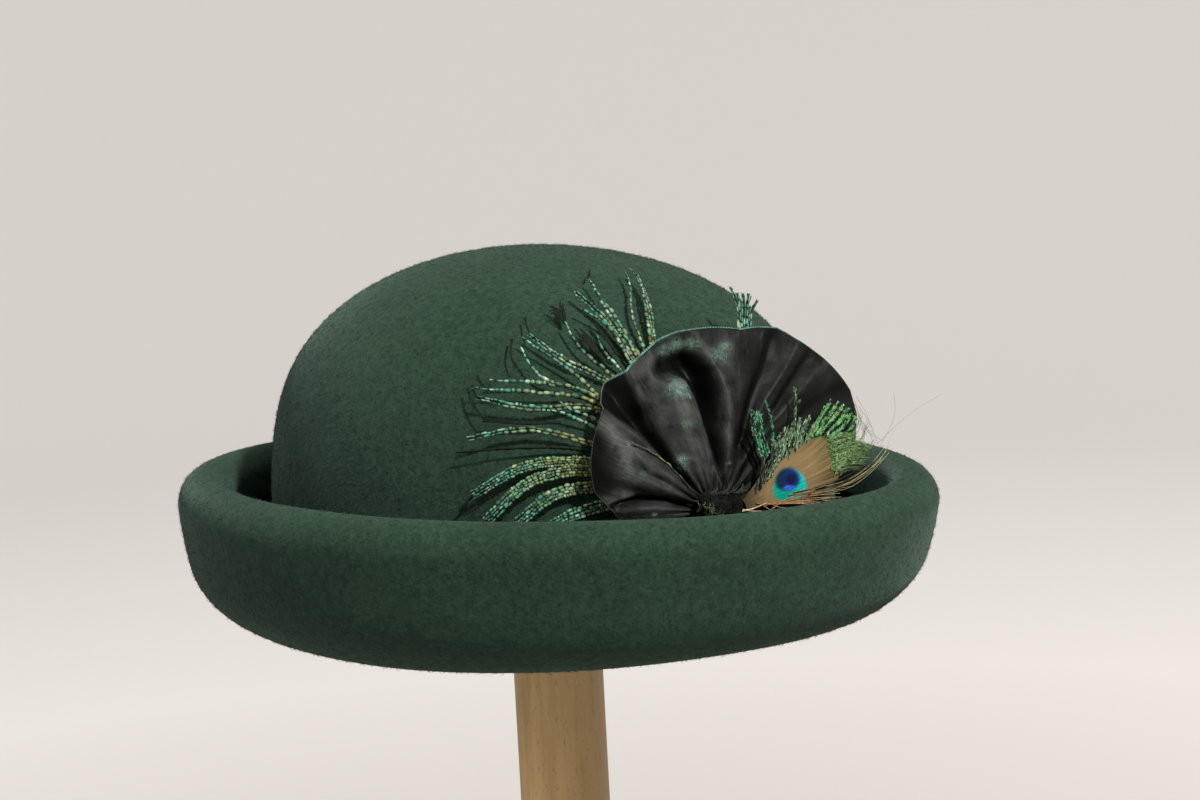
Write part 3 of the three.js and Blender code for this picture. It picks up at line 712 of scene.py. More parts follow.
fan_bm = bmesh.new()
fan_bm.loops.layers.uv.new("ribbon")
bmesh.ops.create_grid(fan_bm, x_segments=(len(FOLDS) - 1) * FOLD_COLUMNS, y_segments=FAN_ROWS,
                      size=1, calc_uvs=True)
flat_places = np.array([v.co for v in fan_bm.verts]) / 2 + 0.5
fan_x, fan_y, fan_f = fan_place(flat_places[:, 0], flat_places[:, 1])
for v, x, y, f in zip(fan_bm.verts, fan_x, fan_y, fan_f):
    v.co = trim_point(x, y, f)
bmesh.ops.recalc_face_normals(fan_bm, faces=fan_bm.faces)
fan_area = sum(f.calc_area() for f in fan_bm.faces)
fan = place_piece("satin_fan_cloth", fan_bm, satin, "satin", "satin_fan")
for name, shares in (("worn", light_shade_and_wear_at(fan_x, fan_y)), ("down", down_at(fan_x, fan_y))):
    fan.data.attributes.new(name, "FLOAT", "POINT").data.foreach_set("value", shares.astype(np.float32))
fan_wall = fan.modifiers.new("ribbon_thickness", "SOLIDIFY")
fan_wall.thickness = FAN_CLOTH * MM
fan_wall.offset = 0

# Edging: a fine picot of blue-green thread worked over the ribbon's outer edge.
# It is bright along the top of the fan and worn thin at its ends.
EDGING_WIDTH = 0.8
EDGING_STEPS = 900
# Angles about the knot, in degrees, between which the thread is bright.
EDGING_FROM = 42
EDGING_TO = 128
EDGING_TEAL = Vector((0.066, 0.165, 0.138))
EDGING_GREY = Vector((0.05, 0.055, 0.055))
EDGING_DULL = Vector((0.02, 0.05, 0.04))


def new_rows():
    """No strands yet: room for each one's points, side and up directions, widths in mm and colours."""
    return {"path": [], "side": [], "up": [], "width": [], "tint": []}


def lay(rows, path, side, up, width, tint):
    """Adds one strand, with as many points as the piece's other strands have."""
    for key, value in zip(rows, (path, side, up, width, tint)):
        rows[key].append(value)


def strands(name, rows, thick, finish, slot, *nodes):
    """All the strands of a piece as one mesh, each a closed ribbon of four sides along its own path.

    Their thickness in mm is one number, or an array with a number for each point of each strand.
    """
    paths, sides, ups, widths, tints = (np.array(values) for values in rows.values())
    count, steps = widths.shape
    across = sides * (widths / 2)[..., None] * MM
    over = ups * (np.broadcast_to(thick, widths.shape) / 2)[..., None] * MM
    points = np.stack([paths - across, paths - over, paths + across, paths + over], axis=2)
    ring = np.arange(4)
    step = np.arange(steps - 1)[:, None]
    here, after = step * 4 + ring, step * 4 + (ring + 1) % 4
    walls = np.stack([here, here + 4, after + 4, after], axis=-1).reshape(-1, 4)
    last = (steps - 1) * 4
    caps = np.array([[0, 1, 2, 3], [last + 3, last + 2, last + 1, last]])
    quads = (np.arange(count)[:, None, None] * steps * 4 + np.concatenate([walls, caps])).reshape(-1, 4)
    mesh = bpy.data.meshes.new(name)
    mesh.from_pydata(points.reshape(-1, 3).tolist(), [], quads.tolist())
    tint = mesh.attributes.new("tint", "FLOAT_COLOR", "POINT")
    colours = np.ones((count, steps, 4, 4), np.float32)
    colours[..., :3] = tints[:, :, None, :]
    tint.data.foreach_set("color", colours.ravel())
    return place_piece(name, mesh, finish, slot, *nodes)


def unit(a):
    return a / np.maximum(np.linalg.norm(a, axis=-1, keepdims=True), 1e-9)


def frames_along(path, facing):
    """Side and up directions for a strand that follows a path and faces a way."""
    run = unit(np.gradient(path, axis=-2))
    side = unit(np.cross(run, facing))
    return side, unit(np.cross(side, run))


edge_path = []
edge_tint = []
edge_width = []
edge_share = np.linspace(0, 1, EDGING_STEPS)
for i, (x, y, f) in enumerate(zip(*fan_place(edge_share, np.ones(EDGING_STEPS)))):
    deg = math.degrees(math.atan2(y, x))
    bright = ease((EDGING_TO - deg) / 10) * ease((deg - EDGING_FROM) / 16)
    loop = 0.5 + 0.5 * math.cos(i * 2.1)
    picot = 1 + 0.006 * bright * (loop - 0.3)
    edge_path.append(trim_point(x * picot, y * picot, f))
    teal = EDGING_TEAL * (0.35 + 0.6 * loop + 0.5 * noise.noise(Vector((i * 0.11, 0, 0))))
    dull = EDGING_GREY if deg > 120 else EDGING_DULL
    edge_tint.append(dull.lerp(teal, bright))
    broad = 0.45 + 0.2 * bright + 0.35 * ease((deg - 88) / 14) * bright
    edge_width.append(EDGING_WIDTH * broad * (0.75 + 0.5 * loop))
edge_path = np.array(edge_path)
edge_side, edge_up = frames_along(edge_path, np.array([trim_out.x, trim_out.y, 0.2]))
edge_rows = new_rows()
lay(edge_rows, edge_path, edge_side, edge_up, edge_width, edge_tint)


def tinted(name, **constants):
    """A finish whose colour is carried strand by strand on the mesh, a little uneven along it."""
    made = Finish(name, **constants)
    carried = made.node("ShaderNodeVertexColor", {"layer_name": "tint"})
    place = made.node("ShaderNodeTexCoord", output=3)
    uneven = made.cloud(place, 900, 2)
    dark = made.node("ShaderNodeMix", {"data_type": "RGBA", "blend_type": "MULTIPLY"},
                     {0: 1.0, 6: carried, 7: (0.55, 0.55, 0.55, 1)}, 2)
    made.feed(base_color=made.blend(made.span(uneven, 0.35, 0.65), dark, carried))
    return made


thread = tinted("edging_thread", roughness=0.6, specular_ior_level=0.2)
edging = strands("fan_edging", edge_rows, np.array(edge_rows["width"]), thread, "satin")

# Knot: the ribbon's two raw ends drawn together and bound down in front of the fan's neck.
# The satin is bunched into small upright tucks, with frayed ends of gold thread at its lower left.
KNOT_WIDTH = 13.5
KNOT_HEIGHT = 9.5
KNOT_DEPTH = 6.5
KNOT_X = 0.2
KNOT_Y = 2.3
KNOT_FORWARD = 4.6
KNOT_SQUARE = 0.7
KNOT_BLACK = (0.0018, 0.0020, 0.0018, 1)
KNOT_RUBBED = (0.008, 0.011, 0.008, 1)
FRAY_COUNT = 84
FRAY_STEPS = 7
FRAY_GOLD = Vector((0.085, 0.075, 0.022))
FRAY_GREEN = Vector((0.030, 0.062, 0.030))
FRAY_PALE = Vector((0.020, 0.030, 0.022))


def squared(value):
    """Fills out the corners of a round form, from -1 to 1."""
    return math.copysign(abs(value) ** KNOT_SQUARE, value)


knot_bm = bmesh.new()
bmesh.ops.create_uvsphere(knot_bm, u_segments=96, v_segments=60, radius=1)
bmesh.ops.rotate(knot_bm, verts=knot_bm.verts, cent=(0, 0, 0),
                 matrix=Matrix.Rotation(math.pi / 2, 3, "Y"))
for v in knot_bm.verts:
    turn = math.atan2(v.co.z, v.co.y)
    body = math.sqrt(max(1 - v.co.x ** 2, 0))
    fold = 6 * v.co.x + 1.1 * math.sin(turn) + 2 * noise.noise(v.co * 1.3)
    tuck = 1 - 0.20 * body * abs(math.sin(fold))
    tuck += 0.22 * noise.noise(v.co * 2.3) + 0.12 * noise.noise(v.co * 5.7)
    v.co = trim_point(
        KNOT_X + squared(v.co.x) * KNOT_WIDTH / 2 * (0.86 + 0.12 * tuck),
        KNOT_Y + squared(v.co.y) * KNOT_HEIGHT / 2 * tuck - 0.06 * v.co.x * KNOT_WIDTH,
        KNOT_FORWARD + squared(v.co.z) * KNOT_DEPTH / 2 * tuck,
    )
bmesh.ops.recalc_face_normals(knot_bm, faces=knot_bm.faces)
bunched = Finish("bunched_satin", roughness=0.7, specular_ior_level=0.05)
place = bunched.node("ShaderNodeTexCoord", output=3)
ruck = bunched.cloud(place, 480, 4, 0.7)
rubbed = bunched.blend(bunched.span(ruck, 0.48, 0.75), KNOT_BLACK, KNOT_RUBBED)
bunched.feed(base_color=rubbed, normal=bunched.bump(ruck, 0.8, 0.001))
place_piece("fan_knot_satin", knot_bm, bunched, "satin", "fan_knot")

fray_draw = random.Random(5)
facing_out = np.array([trim_out.x, trim_out.y, 0.25])
fray_rows = new_rows()
for i in range(FRAY_COUNT):
    s = fray_draw.random()
    if i % 3 < 2:
        # Frayed ends along the knot's lower left, where the ribbon was cut.
        x, y = mix(-8, 2, s), mix(4.5, -3.2, s)
        way = fray_draw.uniform(-1.2, 0.4)
        long = fray_draw.uniform(1.0, 3.0)
        colour = FRAY_GOLD.lerp(FRAY_GREEN, fray_draw.random())
    else:
        # The raw top edge of the bunch, where the pale side of the cloth shows.
        x, y = mix(-4, 6, s), 6.6 + fray_draw.uniform(-0.5, 0.4) - 0.35 * s
        way = fray_draw.uniform(-0.35, 0.25)
        long = fray_draw.uniform(1.5, 3.5)
        colour = FRAY_PALE
    swell = 1 - ((x - KNOT_X) / 8.5) ** 2 - ((y - KNOT_Y) / 6.5) ** 2
    f = KNOT_FORWARD + 3.3 * math.sqrt(max(swell, 0)) + fray_draw.uniform(0, 0.5)
    curl = fray_draw.uniform(-0.9, 0.9)
    path = []
    for j in range(FRAY_STEPS):
        u = j / (FRAY_STEPS - 1)
        a = way + curl * u
        path.append(trim_point(x + long * u * math.cos(a), y + long * u * math.sin(a),
                               f + 0.5 * math.sin(math.pi * u) - 0.8 * u))
    path = np.array(path)
    tint = [colour * fray_draw.uniform(0.4, 1.2)] * FRAY_STEPS
    width = [fray_draw.uniform(0.14, 0.32)] * FRAY_STEPS
    lay(fray_rows, path, *frames_along(path, facing_out), width, tint)
strands("knot_threads", fray_rows, 0.7 * np.array(fray_rows["width"]), thread, "satin")

# Herls: single barbs of a peacock's tail, sewn behind the fan and spread over the crown.
# Each is a thin dark ribbon of barbules that glint in short runs of gold, green and teal,
# in one row or two on the fine herls above and in four on the broad ones below.
HERL_STEPS = 260
SHAFT_SKIP = 3
MM_PER_DEG = 1.72
# How far a herl stands off the felt where it leaves the fan, at its middle and at its tip, and the same
# for the upright tuft, which starts at row TALL_FROM.
HERL_LIFT = [2.2, 3.3, 4]
TALL_LIFT = [9.1, 11.5, 13.9]
TALL_FROM = 23
# The sewn pad that all herls start from: its place on the crown and its reach.
HERL_ROOT_LIFT = 2.2
HERL_ROOT_DEG = 250
HERL_ROOT_UP = 0.375
PAD_REACH_DEG = 3.1
PAD_REACH_UP = 0.025
# Where each herl leaves the fan, its middle and its tip: degrees round the crown and share of its
# height, then its width in mm.
HERLS = [
    (245.3, 0.757, 245.9, 0.824, 254.7, 0.936, 1.3),
    (248.7, 0.775, 252.0, 0.853, 257.4, 0.939, 1.7),
    (247.5, 0.768, 250.2, 0.846, 256.6, 0.928, 1.3),
    (243.4, 0.749, 240.5, 0.831, 240.2, 0.925, 1.3),
    (241.9, 0.733, 238.5, 0.832, 234.0, 0.898, 1.7),
    (240.9, 0.731, 239.3, 0.802, 233.3, 0.862, 1.3),
    (242.9, 0.746, 241.6, 0.837, 239.5, 0.895, 1.3),
    (235.6, 0.708, 231.2, 0.764, 229.0, 0.828, 1.3),
    (237.7, 0.723, 236.0, 0.751, 235.1, 0.795, 1.2),
    (234.2, 0.693, 227.8, 0.736, 220.4, 0.803, 1.7),
    (232.2, 0.661, 227.6, 0.720, 219.0, 0.797, 1.35),
    (231.1, 0.658, 221.3, 0.715, 218.4, 0.777, 1.2),
    (231.6, 0.655, 221.7, 0.689, 212.0, 0.699, 1.4),
    (231.2, 0.642, 221.0, 0.667, 208.5, 0.682, 1.4),
    (230.7, 0.626, 220.7, 0.629, 209.6, 0.660, 1.7),
    (230.4, 0.603, 226.5, 0.628, 225.1, 0.646, 1.3),
    (230.1, 0.586, 226.3, 0.612, 222.8, 0.626, 1.3),
    (229.5, 0.542, 218.9, 0.581, 207.7, 0.562, 1.7),
    (229.1, 0.523, 215.6, 0.536, 205.3, 0.528, 0.7),
    (229.6, 0.495, 217.9, 0.491, 208.2, 0.424, 3.2),
    (229.7, 0.475, 219.2, 0.458, 210.3, 0.360, 3.5),
    (229.4, 0.434, 222.9, 0.422, 215.7, 0.353, 3.8),
    (229.6, 0.384, 226.1, 0.373, 221.8, 0.349, 3.8),
    (266.9, 0.787, 268.1, 0.836, 268.2, 0.890, 1.7),
    (267.6, 0.787, 269.1, 0.836, 269.6, 0.874, 2.0),
    (268.3, 0.786, 269.9, 0.832, 270.8, 0.872, 2.0),
    (268.9, 0.786, 270.6, 0.834, 272.0, 0.870, 2.0),
    (269.5, 0.785, 271.4, 0.833, 273.0, 0.864, 2.0),
    (270.1, 0.784, 272.2, 0.828, 273.6, 0.852, 1.7),
]
# Rows of glints on a herl: the least width that has them, each row's place across it and its width,
# as shares of the herl's, and the length of one run of colour in mm. A narrower herl is bare.
GLINT_ROWS = [
    (2.5, (-0.36, -0.12, 0.12, 0.36), 0.33, 1.3),
    (1.6, (-0.27, 0.27), 0.62, 2.1),
    (0.8, (0.0,), 0.95, 2.1),
]
GLINT_START = 0.3
# Dark bare ends and broken barbs, a dark line under a row of herls, and a heap of dark hairs that is
# a painted shadow: three places each, how many hairs, and how far they spread in mm.
HERL_HAIRS = [
    (216.6, 0.794, 216.4, 0.764, 217.1, 0.729, 3, 0.5),
    (219.8, 0.841, 220.1, 0.820, 220.9, 0.800, 3, 0.4),
    (207.3, 0.679, 208.4, 0.645, 210.7, 0.609, 4, 0.6),
    (209.3, 0.709, 210.3, 0.691, 211.8, 0.671, 3, 0.6),
    (229.1, 0.826, 228.3, 0.844, 226.8, 0.855, 14, 1.6),
    (229.1, 0.826, 229.1, 0.847, 229.5, 0.867, 12, 1.3),
    (240.7, 0.924, 242.7, 0.936, 243.7, 0.947, 3, 0.5),
    (225.1, 0.593, 218.4, 0.596, 210.7, 0.604, 8, 0.6),
    (208.1, 0.423, 206.8, 0.405, 205.5, 0.387, 5, 0.8),
    # Painted shadow: a heap of dark hairs where a herl's shadow falls on the felt.
    (236.9, 0.727, 234.3, 0.765, 231.9, 0.797, 34, 2.0),
    (239.0, 0.742, 237.0, 0.790, 235.6, 0.830, 6, 0.9),
]
HAIR_STEPS = 9
HAIR_LIFT = [2.6, 3.0, 3.2]
HERL_DARK = (0.0060, 0.0110, 0.0068)
HERL_GOLD = [(0.15, 0.17, 0.045), (0.12, 0.15, 0.055), (0.17, 0.19, 0.085), (0.10, 0.14, 0.060)]
HERL_GREEN = [(0.085, 0.20, 0.09), (0.15, 0.22, 0.12), (0.07, 0.18, 0.10), (0.18, 0.25, 0.16)]
HERL_TEAL = [(0.06, 0.21, 0.13), (0.095, 0.25, 0.165), (0.035, 0.15, 0.10), (0.15, 0.28, 0.21)]


def smooth_run(stops, count, scale):
    """Places spread evenly along a smooth curve through the stops, at any spacing between them."""
    stops = np.array(stops, float)
    chord = np.linalg.norm(np.diff(stops * scale, axis=0), axis=1)
    knots = np.concatenate([[0], np.cumsum(chord)])
    slope = np.diff(stops, axis=0) / chord[:, None]
    share = (chord[:-1] + chord[1:])[:, None]
    inner = (slope[:-1] * chord[1:, None] + slope[1:] * chord[:-1, None]) / share
    tangents = np.concatenate([slope[:1], inner, slope[-1:]])
    at = np.linspace(0, knots[-1], count)
    k = np.clip(np.searchsorted(knots, at, "right") - 1, 0, len(chord) - 1)
    h = chord[k][:, None]
    f = (at - knots[k])[:, None] / h
    start, end = stops[k], stops[k + 1]
    return ((2 * f ** 3 - 3 * f ** 2 + 1) * start + (3 * f ** 2 - 2 * f ** 3) * end
            + (f ** 3 - 2 * f ** 2 + f) * h * tangents[k] + (f ** 3 - f ** 2) * h * tangents[k + 1])


def over_crown(stops, count):
    """Points and outward directions of a smooth run over the crown, through stops of degrees round it,
    share of its height and lift off it in mm."""
    points = []
    ups = []
    for deg, up, high in smooth_run(stops, count, (MM_PER_DEG, CROWN_HEIGHT, 1)):
        here = crown_point(math.radians(deg), up * CROWN_HEIGHT, high)
        points.append(here)
        ups.append(crown_point(math.radians(deg), up * CROWN_HEIGHT, high + 1) - here)
    return np.array(points), unit(np.array(ups))


def herl_path(order):
    """Points and outward directions of one herl, from the pad under the fan to its tip."""
    leave_deg, leave_up, mid_deg, mid_up, tip_deg, tip_up, _ = HERLS[order]
    lift = TALL_LIFT if order >= TALL_FROM else HERL_LIFT
    layer = 0.35 * (order % 3 - 1)
    run = Vector(((leave_deg - HERL_ROOT_DEG) * MM_PER_DEG, (leave_up - HERL_ROOT_UP) * CROWN_HEIGHT))
    way = run.normalized()
    return over_crown([
        (HERL_ROOT_DEG + way.x * PAD_REACH_DEG, HERL_ROOT_UP + way.y * PAD_REACH_UP, HERL_ROOT_LIFT),
        (leave_deg, leave_up, lift[0] + layer / 2),
        (mid_deg, mid_up, lift[1] + layer),
        (tip_deg, tip_up, lift[2] + layer),
    ], HERL_STEPS)


def reach_along(path):
    """Length along a path up to each of its points, in mm."""
    return np.concatenate([[0], np.cumsum(np.linalg.norm(np.diff(path, axis=0), axis=1))]) / MM


def glints(rows, draw, path, side, up, colours, width, off, start, gap):
    """One row of bright runs along a strand, uneven in length, width and shade, and dark between them."""
    reach = reach_along(path)
    long = reach[-1]
    tint = np.tile(np.array(HERL_DARK), (len(path), 1))
    wide = np.full(len(path), 0.45)
    shift = np.zeros((len(path), 1))
    at = -draw.uniform(0, gap)
    while at < long:
        run = gap * draw.uniform(0.4, 1.5)
        glint = run * draw.uniform(0.65, 0.95)
        lit = (reach >= max(at, start * long)) & (reach < at + glint)
        rise = np.sqrt(np.sin(np.pi * np.clip((reach[lit] - at) / glint, 0.06, 0.94)))
        bright = np.array(colours(max(at, 0) / long, draw)) * draw.uniform(0.35, 1.35)
        tint[lit] += (bright - HERL_DARK) * rise[:, None]
        wide[lit] = mix(0.7, draw.uniform(0.75, 1.25), rise)
        shift[lit] = draw.uniform(-0.2, 0.2)
        at += run
    fade = 1 - 0.5 * ease((reach / long - 0.8) / 0.2)
    lay(rows, path + (side * (off + shift) + up * 0.16) * MM, side, up, width * fade * wide, tint)


def herl_colour(share, draw):
    """Gold near the fan, then green, then teal towards the tip, with no sharp change."""
    if share < 0.66 - 0.16 * draw.random():
        return draw.choice(HERL_GOLD)
    if share < 0.92 - 0.24 * draw.random():
        return draw.choice(HERL_GREEN)
    return draw.choice(HERL_TEAL)


herl_draw = random.Random(21)
herl_finish = tinted("peacock_herl", roughness=0.6, specular_ior_level=0.15)
shaft_finish = tinted("herl_shaft", roughness=0.75, specular_ior_level=0.06)
shaft_rows = new_rows()
glint_rows = new_rows()
for order, herl in enumerate(HERLS):
    width = herl[-1]
    path, off_felt = herl_path(order)
    side, up = frames_along(path, off_felt)
    glinting = [row for row in GLINT_ROWS if width >= row[0]][:1]
    steps = len(path[::SHAFT_SKIP])
    fray = np.array([herl_draw.uniform(0.75, 1.25) for _ in range(steps)])
    broad = (0.9 if glinting else 2) * width
    lay(shaft_rows, path[::SHAFT_SKIP], side[::SHAFT_SKIP], up[::SHAFT_SKIP],
        broad * fray * np.linspace(1.0, 0.45, steps), [HERL_DARK] * steps)
    for _, lanes, share, gap in glinting:
        for lane in lanes:
            glints(glint_rows, herl_draw, path, side, up, herl_colour, share * width, lane * width,
                   GLINT_START, gap)
strands("herl_shafts", shaft_rows, 0.3, shaft_finish, "herl", "herl_spray")
strands("herl_beads", glint_rows, 0.34, herl_finish, "herl")

hair_rows = new_rows()
for deg0, up0, deg1, up1, deg2, up2, count, spread in HERL_HAIRS:
    for _ in range(count):
        stray = [herl_draw.uniform(-spread, spread) for _ in range(6)]
        stops = [
            (deg0 + 0.25 * stray[0] / MM_PER_DEG, up0 + 0.25 * stray[1] / CROWN_HEIGHT, HAIR_LIFT[0]),
            (deg1 + 0.7 * stray[2] / MM_PER_DEG, up1 + 0.7 * stray[3] / CROWN_HEIGHT, HAIR_LIFT[1]),
            (deg2 + stray[4] / MM_PER_DEG, up2 + stray[5] / CROWN_HEIGHT, HAIR_LIFT[2]),
        ]
        path, off_felt = over_crown(stops, HAIR_STEPS)
        lay(hair_rows, path, *frames_along(path, off_felt),
            np.linspace(0.7, 0.2, HAIR_STEPS), [HERL_DARK] * HAIR_STEPS)
strands("herl_hairs", hair_rows, 0.16, shaft_finish, "herl")

# Eye feather: the eye of a peacock's tail feather, cut short and sewn in front of the fan's right side.
# Silky bronze barbs lie close together as one vane round the blue eye, and end in a loose green fringe.
# Below the eye a few bare barbs stand apart over the brim.
VANE_THICK = 0.16
VANE_COLUMNS = 300
VANE_ROWS = 64
# The feather's foot in the trim's frame, where its vane starts, and how far it stands off the fan.
FEATHER_X = 5.6
FEATHER_Y = 0.6
FEATHER_START = 3
FEATHER_FORWARD = 4.5
# The vane's first and last angle about that foot, in degrees.
VANE_FROM = -1.5
VANE_TO = 44
EYE_X = 24.7
EYE_Y = 4.6
EYE_HALF = 6.4
PUPIL_X = 25.4
PUPIL_Y = 6.9
BRONZE = Vector((0.124, 0.088, 0.042))
BRONZE_NEAR_EYE = Vector((0.10, 0.075, 0.026))
BRONZE_GREEN = Vector((0.085, 0.10, 0.030))
EYE_TEAL = (Vector((0.001, 0.16, 0.118)), Vector((0.002, 0.25, 0.24)))
EYE_BLUE = (Vector((0.0013, 0.010, 0.034)), Vector((0.0018, 0.018, 0.080)))
EYE_GLOW = Vector((0.026, 0.075, 0.42))
EYE_PUPIL = Vector((0.0035, 0.0025, 0.030))
BARB_GROOVE = (0.76, 0.73, 0.68, 1)
# How far the vane reaches at an angle about the feather's foot.
VANE_REACH = [(-2, 23), (0, 25), (2.5, 26.5), (3.6, 28.5), (4.6, 34), (5.4, 38.3), (10, 38), (18, 38.2),
              (24, 39.2), (27.6, 36.5), (31.2, 32.8), (35, 26), (37, 21.5), (39, 17), (44, 11)]
FRINGE_STEPS = 30
# Locks of the fringe: start, middle and tip, how many barbs, how far they stray, their width,
# and the kind of colour.
FRINGE = [
    ((13.0, 5.5), (14.8, 11.0), (16.6, 16.5), 10, 1.2, 0.50, "root"),
    ((15.6, 8.0), (17.6, 12.0), (19.6, 17.5), 10, 1.2, 0.50, "root"),
    ((15.6, 14.6), (13.7, 21.0), (14.1, 28.7), 5, 0.9, 0.40, "tuft"),
    ((16.8, 14.6), (15.4, 21.0), (15.4, 28.2), 5, 0.9, 0.46, "tuft"),
    ((17.8, 15.5), (17.0, 21.6), (16.6, 27.6), 6, 1.0, 0.46, "tuft"),
    ((19.7, 16.8), (20.6, 23.2), (19.5, 31.2), 4, 0.5, 0.36, "tuft"),
    ((17.5, 8.6), (19.5, 14.0), (21.0, 19.0), 9, 1.1, 0.36, "edge"),
    ((19.8, 11.8), (21.8, 16.6), (22.9, 21.2), 9, 1.1, 0.36, "edge"),
    ((22.4, 13.2), (24.0, 18.2), (25.4, 22.6), 9, 1.1, 0.36, "edge"),
    ((24.9, 14.4), (26.6, 19.4), (28.3, 23.6), 9, 1.1, 0.36, "edge"),
    ((27.4, 15.7), (29.2, 20.3), (31.0, 23.9), 9, 1.1, 0.36, "edge"),
    ((30.0, 16.5), (32.0, 20.8), (34.6, 24.4), 9, 1.1, 0.36, "edge"),
    ((32.5, 17.3), (34.5, 19.6), (37.0, 22.0), 8, 1.0, 0.36, "edge"),
    ((29.0, 22.0), (30.7, 28.4), (31.2, 33.4), 3, 0.20, 0.34, "edge"),
    ((30.9, 28.2), (31.8, 28.8), (32.6, 29.6), 3, 0.30, 0.25, "edge"),
    ((34.0, 18.6), (39.6, 24.0), (44.7, 28.3), 7, 0.74, 0.32, "lock"),
    ((36.4, 18.8), (42.4, 23.2), (48.3, 27.3), 7, 0.74, 0.32, "lock"),
    ((38.6, 18.6), (44.7, 22.6), (50.0, 26.0), 6, 0.65, 0.32, "lock"),
    ((40.6, 18.0), (47.6, 21.7), (51.9, 24.9), 6, 0.65, 0.32, "lock"),
    ((42.6, 17.4), (50.0, 20.2), (53.4, 23.0), 5, 0.56, 0.32, "lock"),
    ((44.6, 16.6), (52.0, 18.8), (54.6, 21.8), 5, 0.56, 0.32, "lock"),
    ((41.5, 16.8), (47.0, 17.2), (52.5, 16.4), 20, 1.0, 0.24, "net"),
    ((41.6, 15.0), (48.5, 15.8), (55.5, 14.9), 20, 1.0, 0.24, "net"),
    ((41.6, 13.2), (49.5, 14.0), (58.5, 13.2), 20, 1.0, 0.24, "net"),
    ((42.0, 11.5), (50.0, 12.2), (60.0, 11.6), 20, 1.0, 0.24, "net"),
    ((42.4, 9.8), (50.0, 10.4), (59.0, 9.6), 20, 1.0, 0.24, "net"),
    ((42.8, 8.2), (49.5, 8.6), (57.5, 7.9), 20, 1.0, 0.24, "net"),
    ((43.4, 6.6), (48.5, 6.9), (54.5, 6.3), 17, 0.8, 0.24, "shade"),
    ((42.0, 8.0), (47.0, 12.5), (52.0, 16.0), 15, 1.2, 0.22, "net"),
    ((43.0, 6.5), (49.0, 11.0), (55.0, 14.6), 15, 1.2, 0.22, "net"),
    ((46.0, 6.0), (52.0, 9.5), (58.0, 12.6), 15, 1.2, 0.22, "shade"),
    ((41.6, 15.5), (47.0, 11.5), (51.5, 6.8), 15, 1.2, 0.22, "net"),
    ((43.5, 17.0), (50.0, 12.5), (55.5, 7.4), 15, 1.2, 0.22, "net"),
    ((48.0, 17.0), (53.5, 13.5), (58.5, 9.0), 12, 1.2, 0.22, "shade"),
    ((51.0, 12.0), (56.5, 15.0), (60.0, 19.5), 14, 1.5, 0.13, "wisp"),
    ((50.0, 15.5), (55.0, 18.5), (58.0, 24.0), 9, 1.0, 0.13, "wisp"),
    ((50.0, 10.0), (57.5, 11.5), (63.0, 14.0), 10, 1.3, 0.13, "wisp"),
]
FRINGE_TINTS = {
    "root": [(0.006, 0.008, 0.006), (0.03, 0.045, 0.028), (0.06, 0.075, 0.05), (0.012, 0.016, 0.01)],
    "tuft": [(0.03, 0.15, 0.07), (0.05, 0.30, 0.11), (0.05, 0.20, 0.10), (0.13, 0.26, 0.17),
             (0.006, 0.016, 0.010), (0.004, 0.008, 0.006), (0.006, 0.016, 0.010)],
    "edge": [(0.12, 0.21, 0.11), (0.07, 0.135, 0.065), (0.01, 0.02, 0.012), (0.20, 0.29, 0.19)],
    "lock": [(0.08, 0.36, 0.07), (0.18, 0.40, 0.11), (0.06, 0.24, 0.10), (0.006, 0.014, 0.014),
             (0.20, 0.34, 0.18), (0.003, 0.004, 0.010)],
    "net": [(0.14, 0.24, 0.09), (0.17, 0.27, 0.12), (0.09, 0.16, 0.06), (0.045, 0.08, 0.03)],
    "shade": [(0.09, 0.14, 0.055), (0.05, 0.08, 0.03), (0.14, 0.21, 0.09), (0.020, 0.030, 0.012)],
    "wisp": [(0.16, 0.22, 0.11), (0.22, 0.27, 0.16), (0.10, 0.15, 0.07)],
}
# Along each kind of barb: length of one run of colour, then gap between side barbules, or 0 for none,
# in mm.
FRINGE_RUN = {
    "root": (0.9, 0), "tuft": (0.7, 0.8), "edge": (0.9, 0.8), "lock": (1.0, 0.7),
    "net": (0.5, 0), "shade": (0.5, 0), "wisp": (1.5, 0),
}
BARBULE_LONG = 0.7
BARBULE_WIDE = 0.16
# Colour of each kind of bare barb at its root and at its tip.
BARE_TINTS = {
    "pale": (Vector((0.15, 0.10, 0.04)), Vector((0.28, 0.30, 0.15))),
    "spike": (Vector((0.21, 0.10, 0.042)), Vector((0.36, 0.28, 0.16))),
    "quill": (Vector((0.30, 0.24, 0.15)), Vector((0.24, 0.15, 0.07))),
    "dark": (Vector((0.016, 0.011, 0.006)), Vector((0.012, 0.012, 0.006))),
}
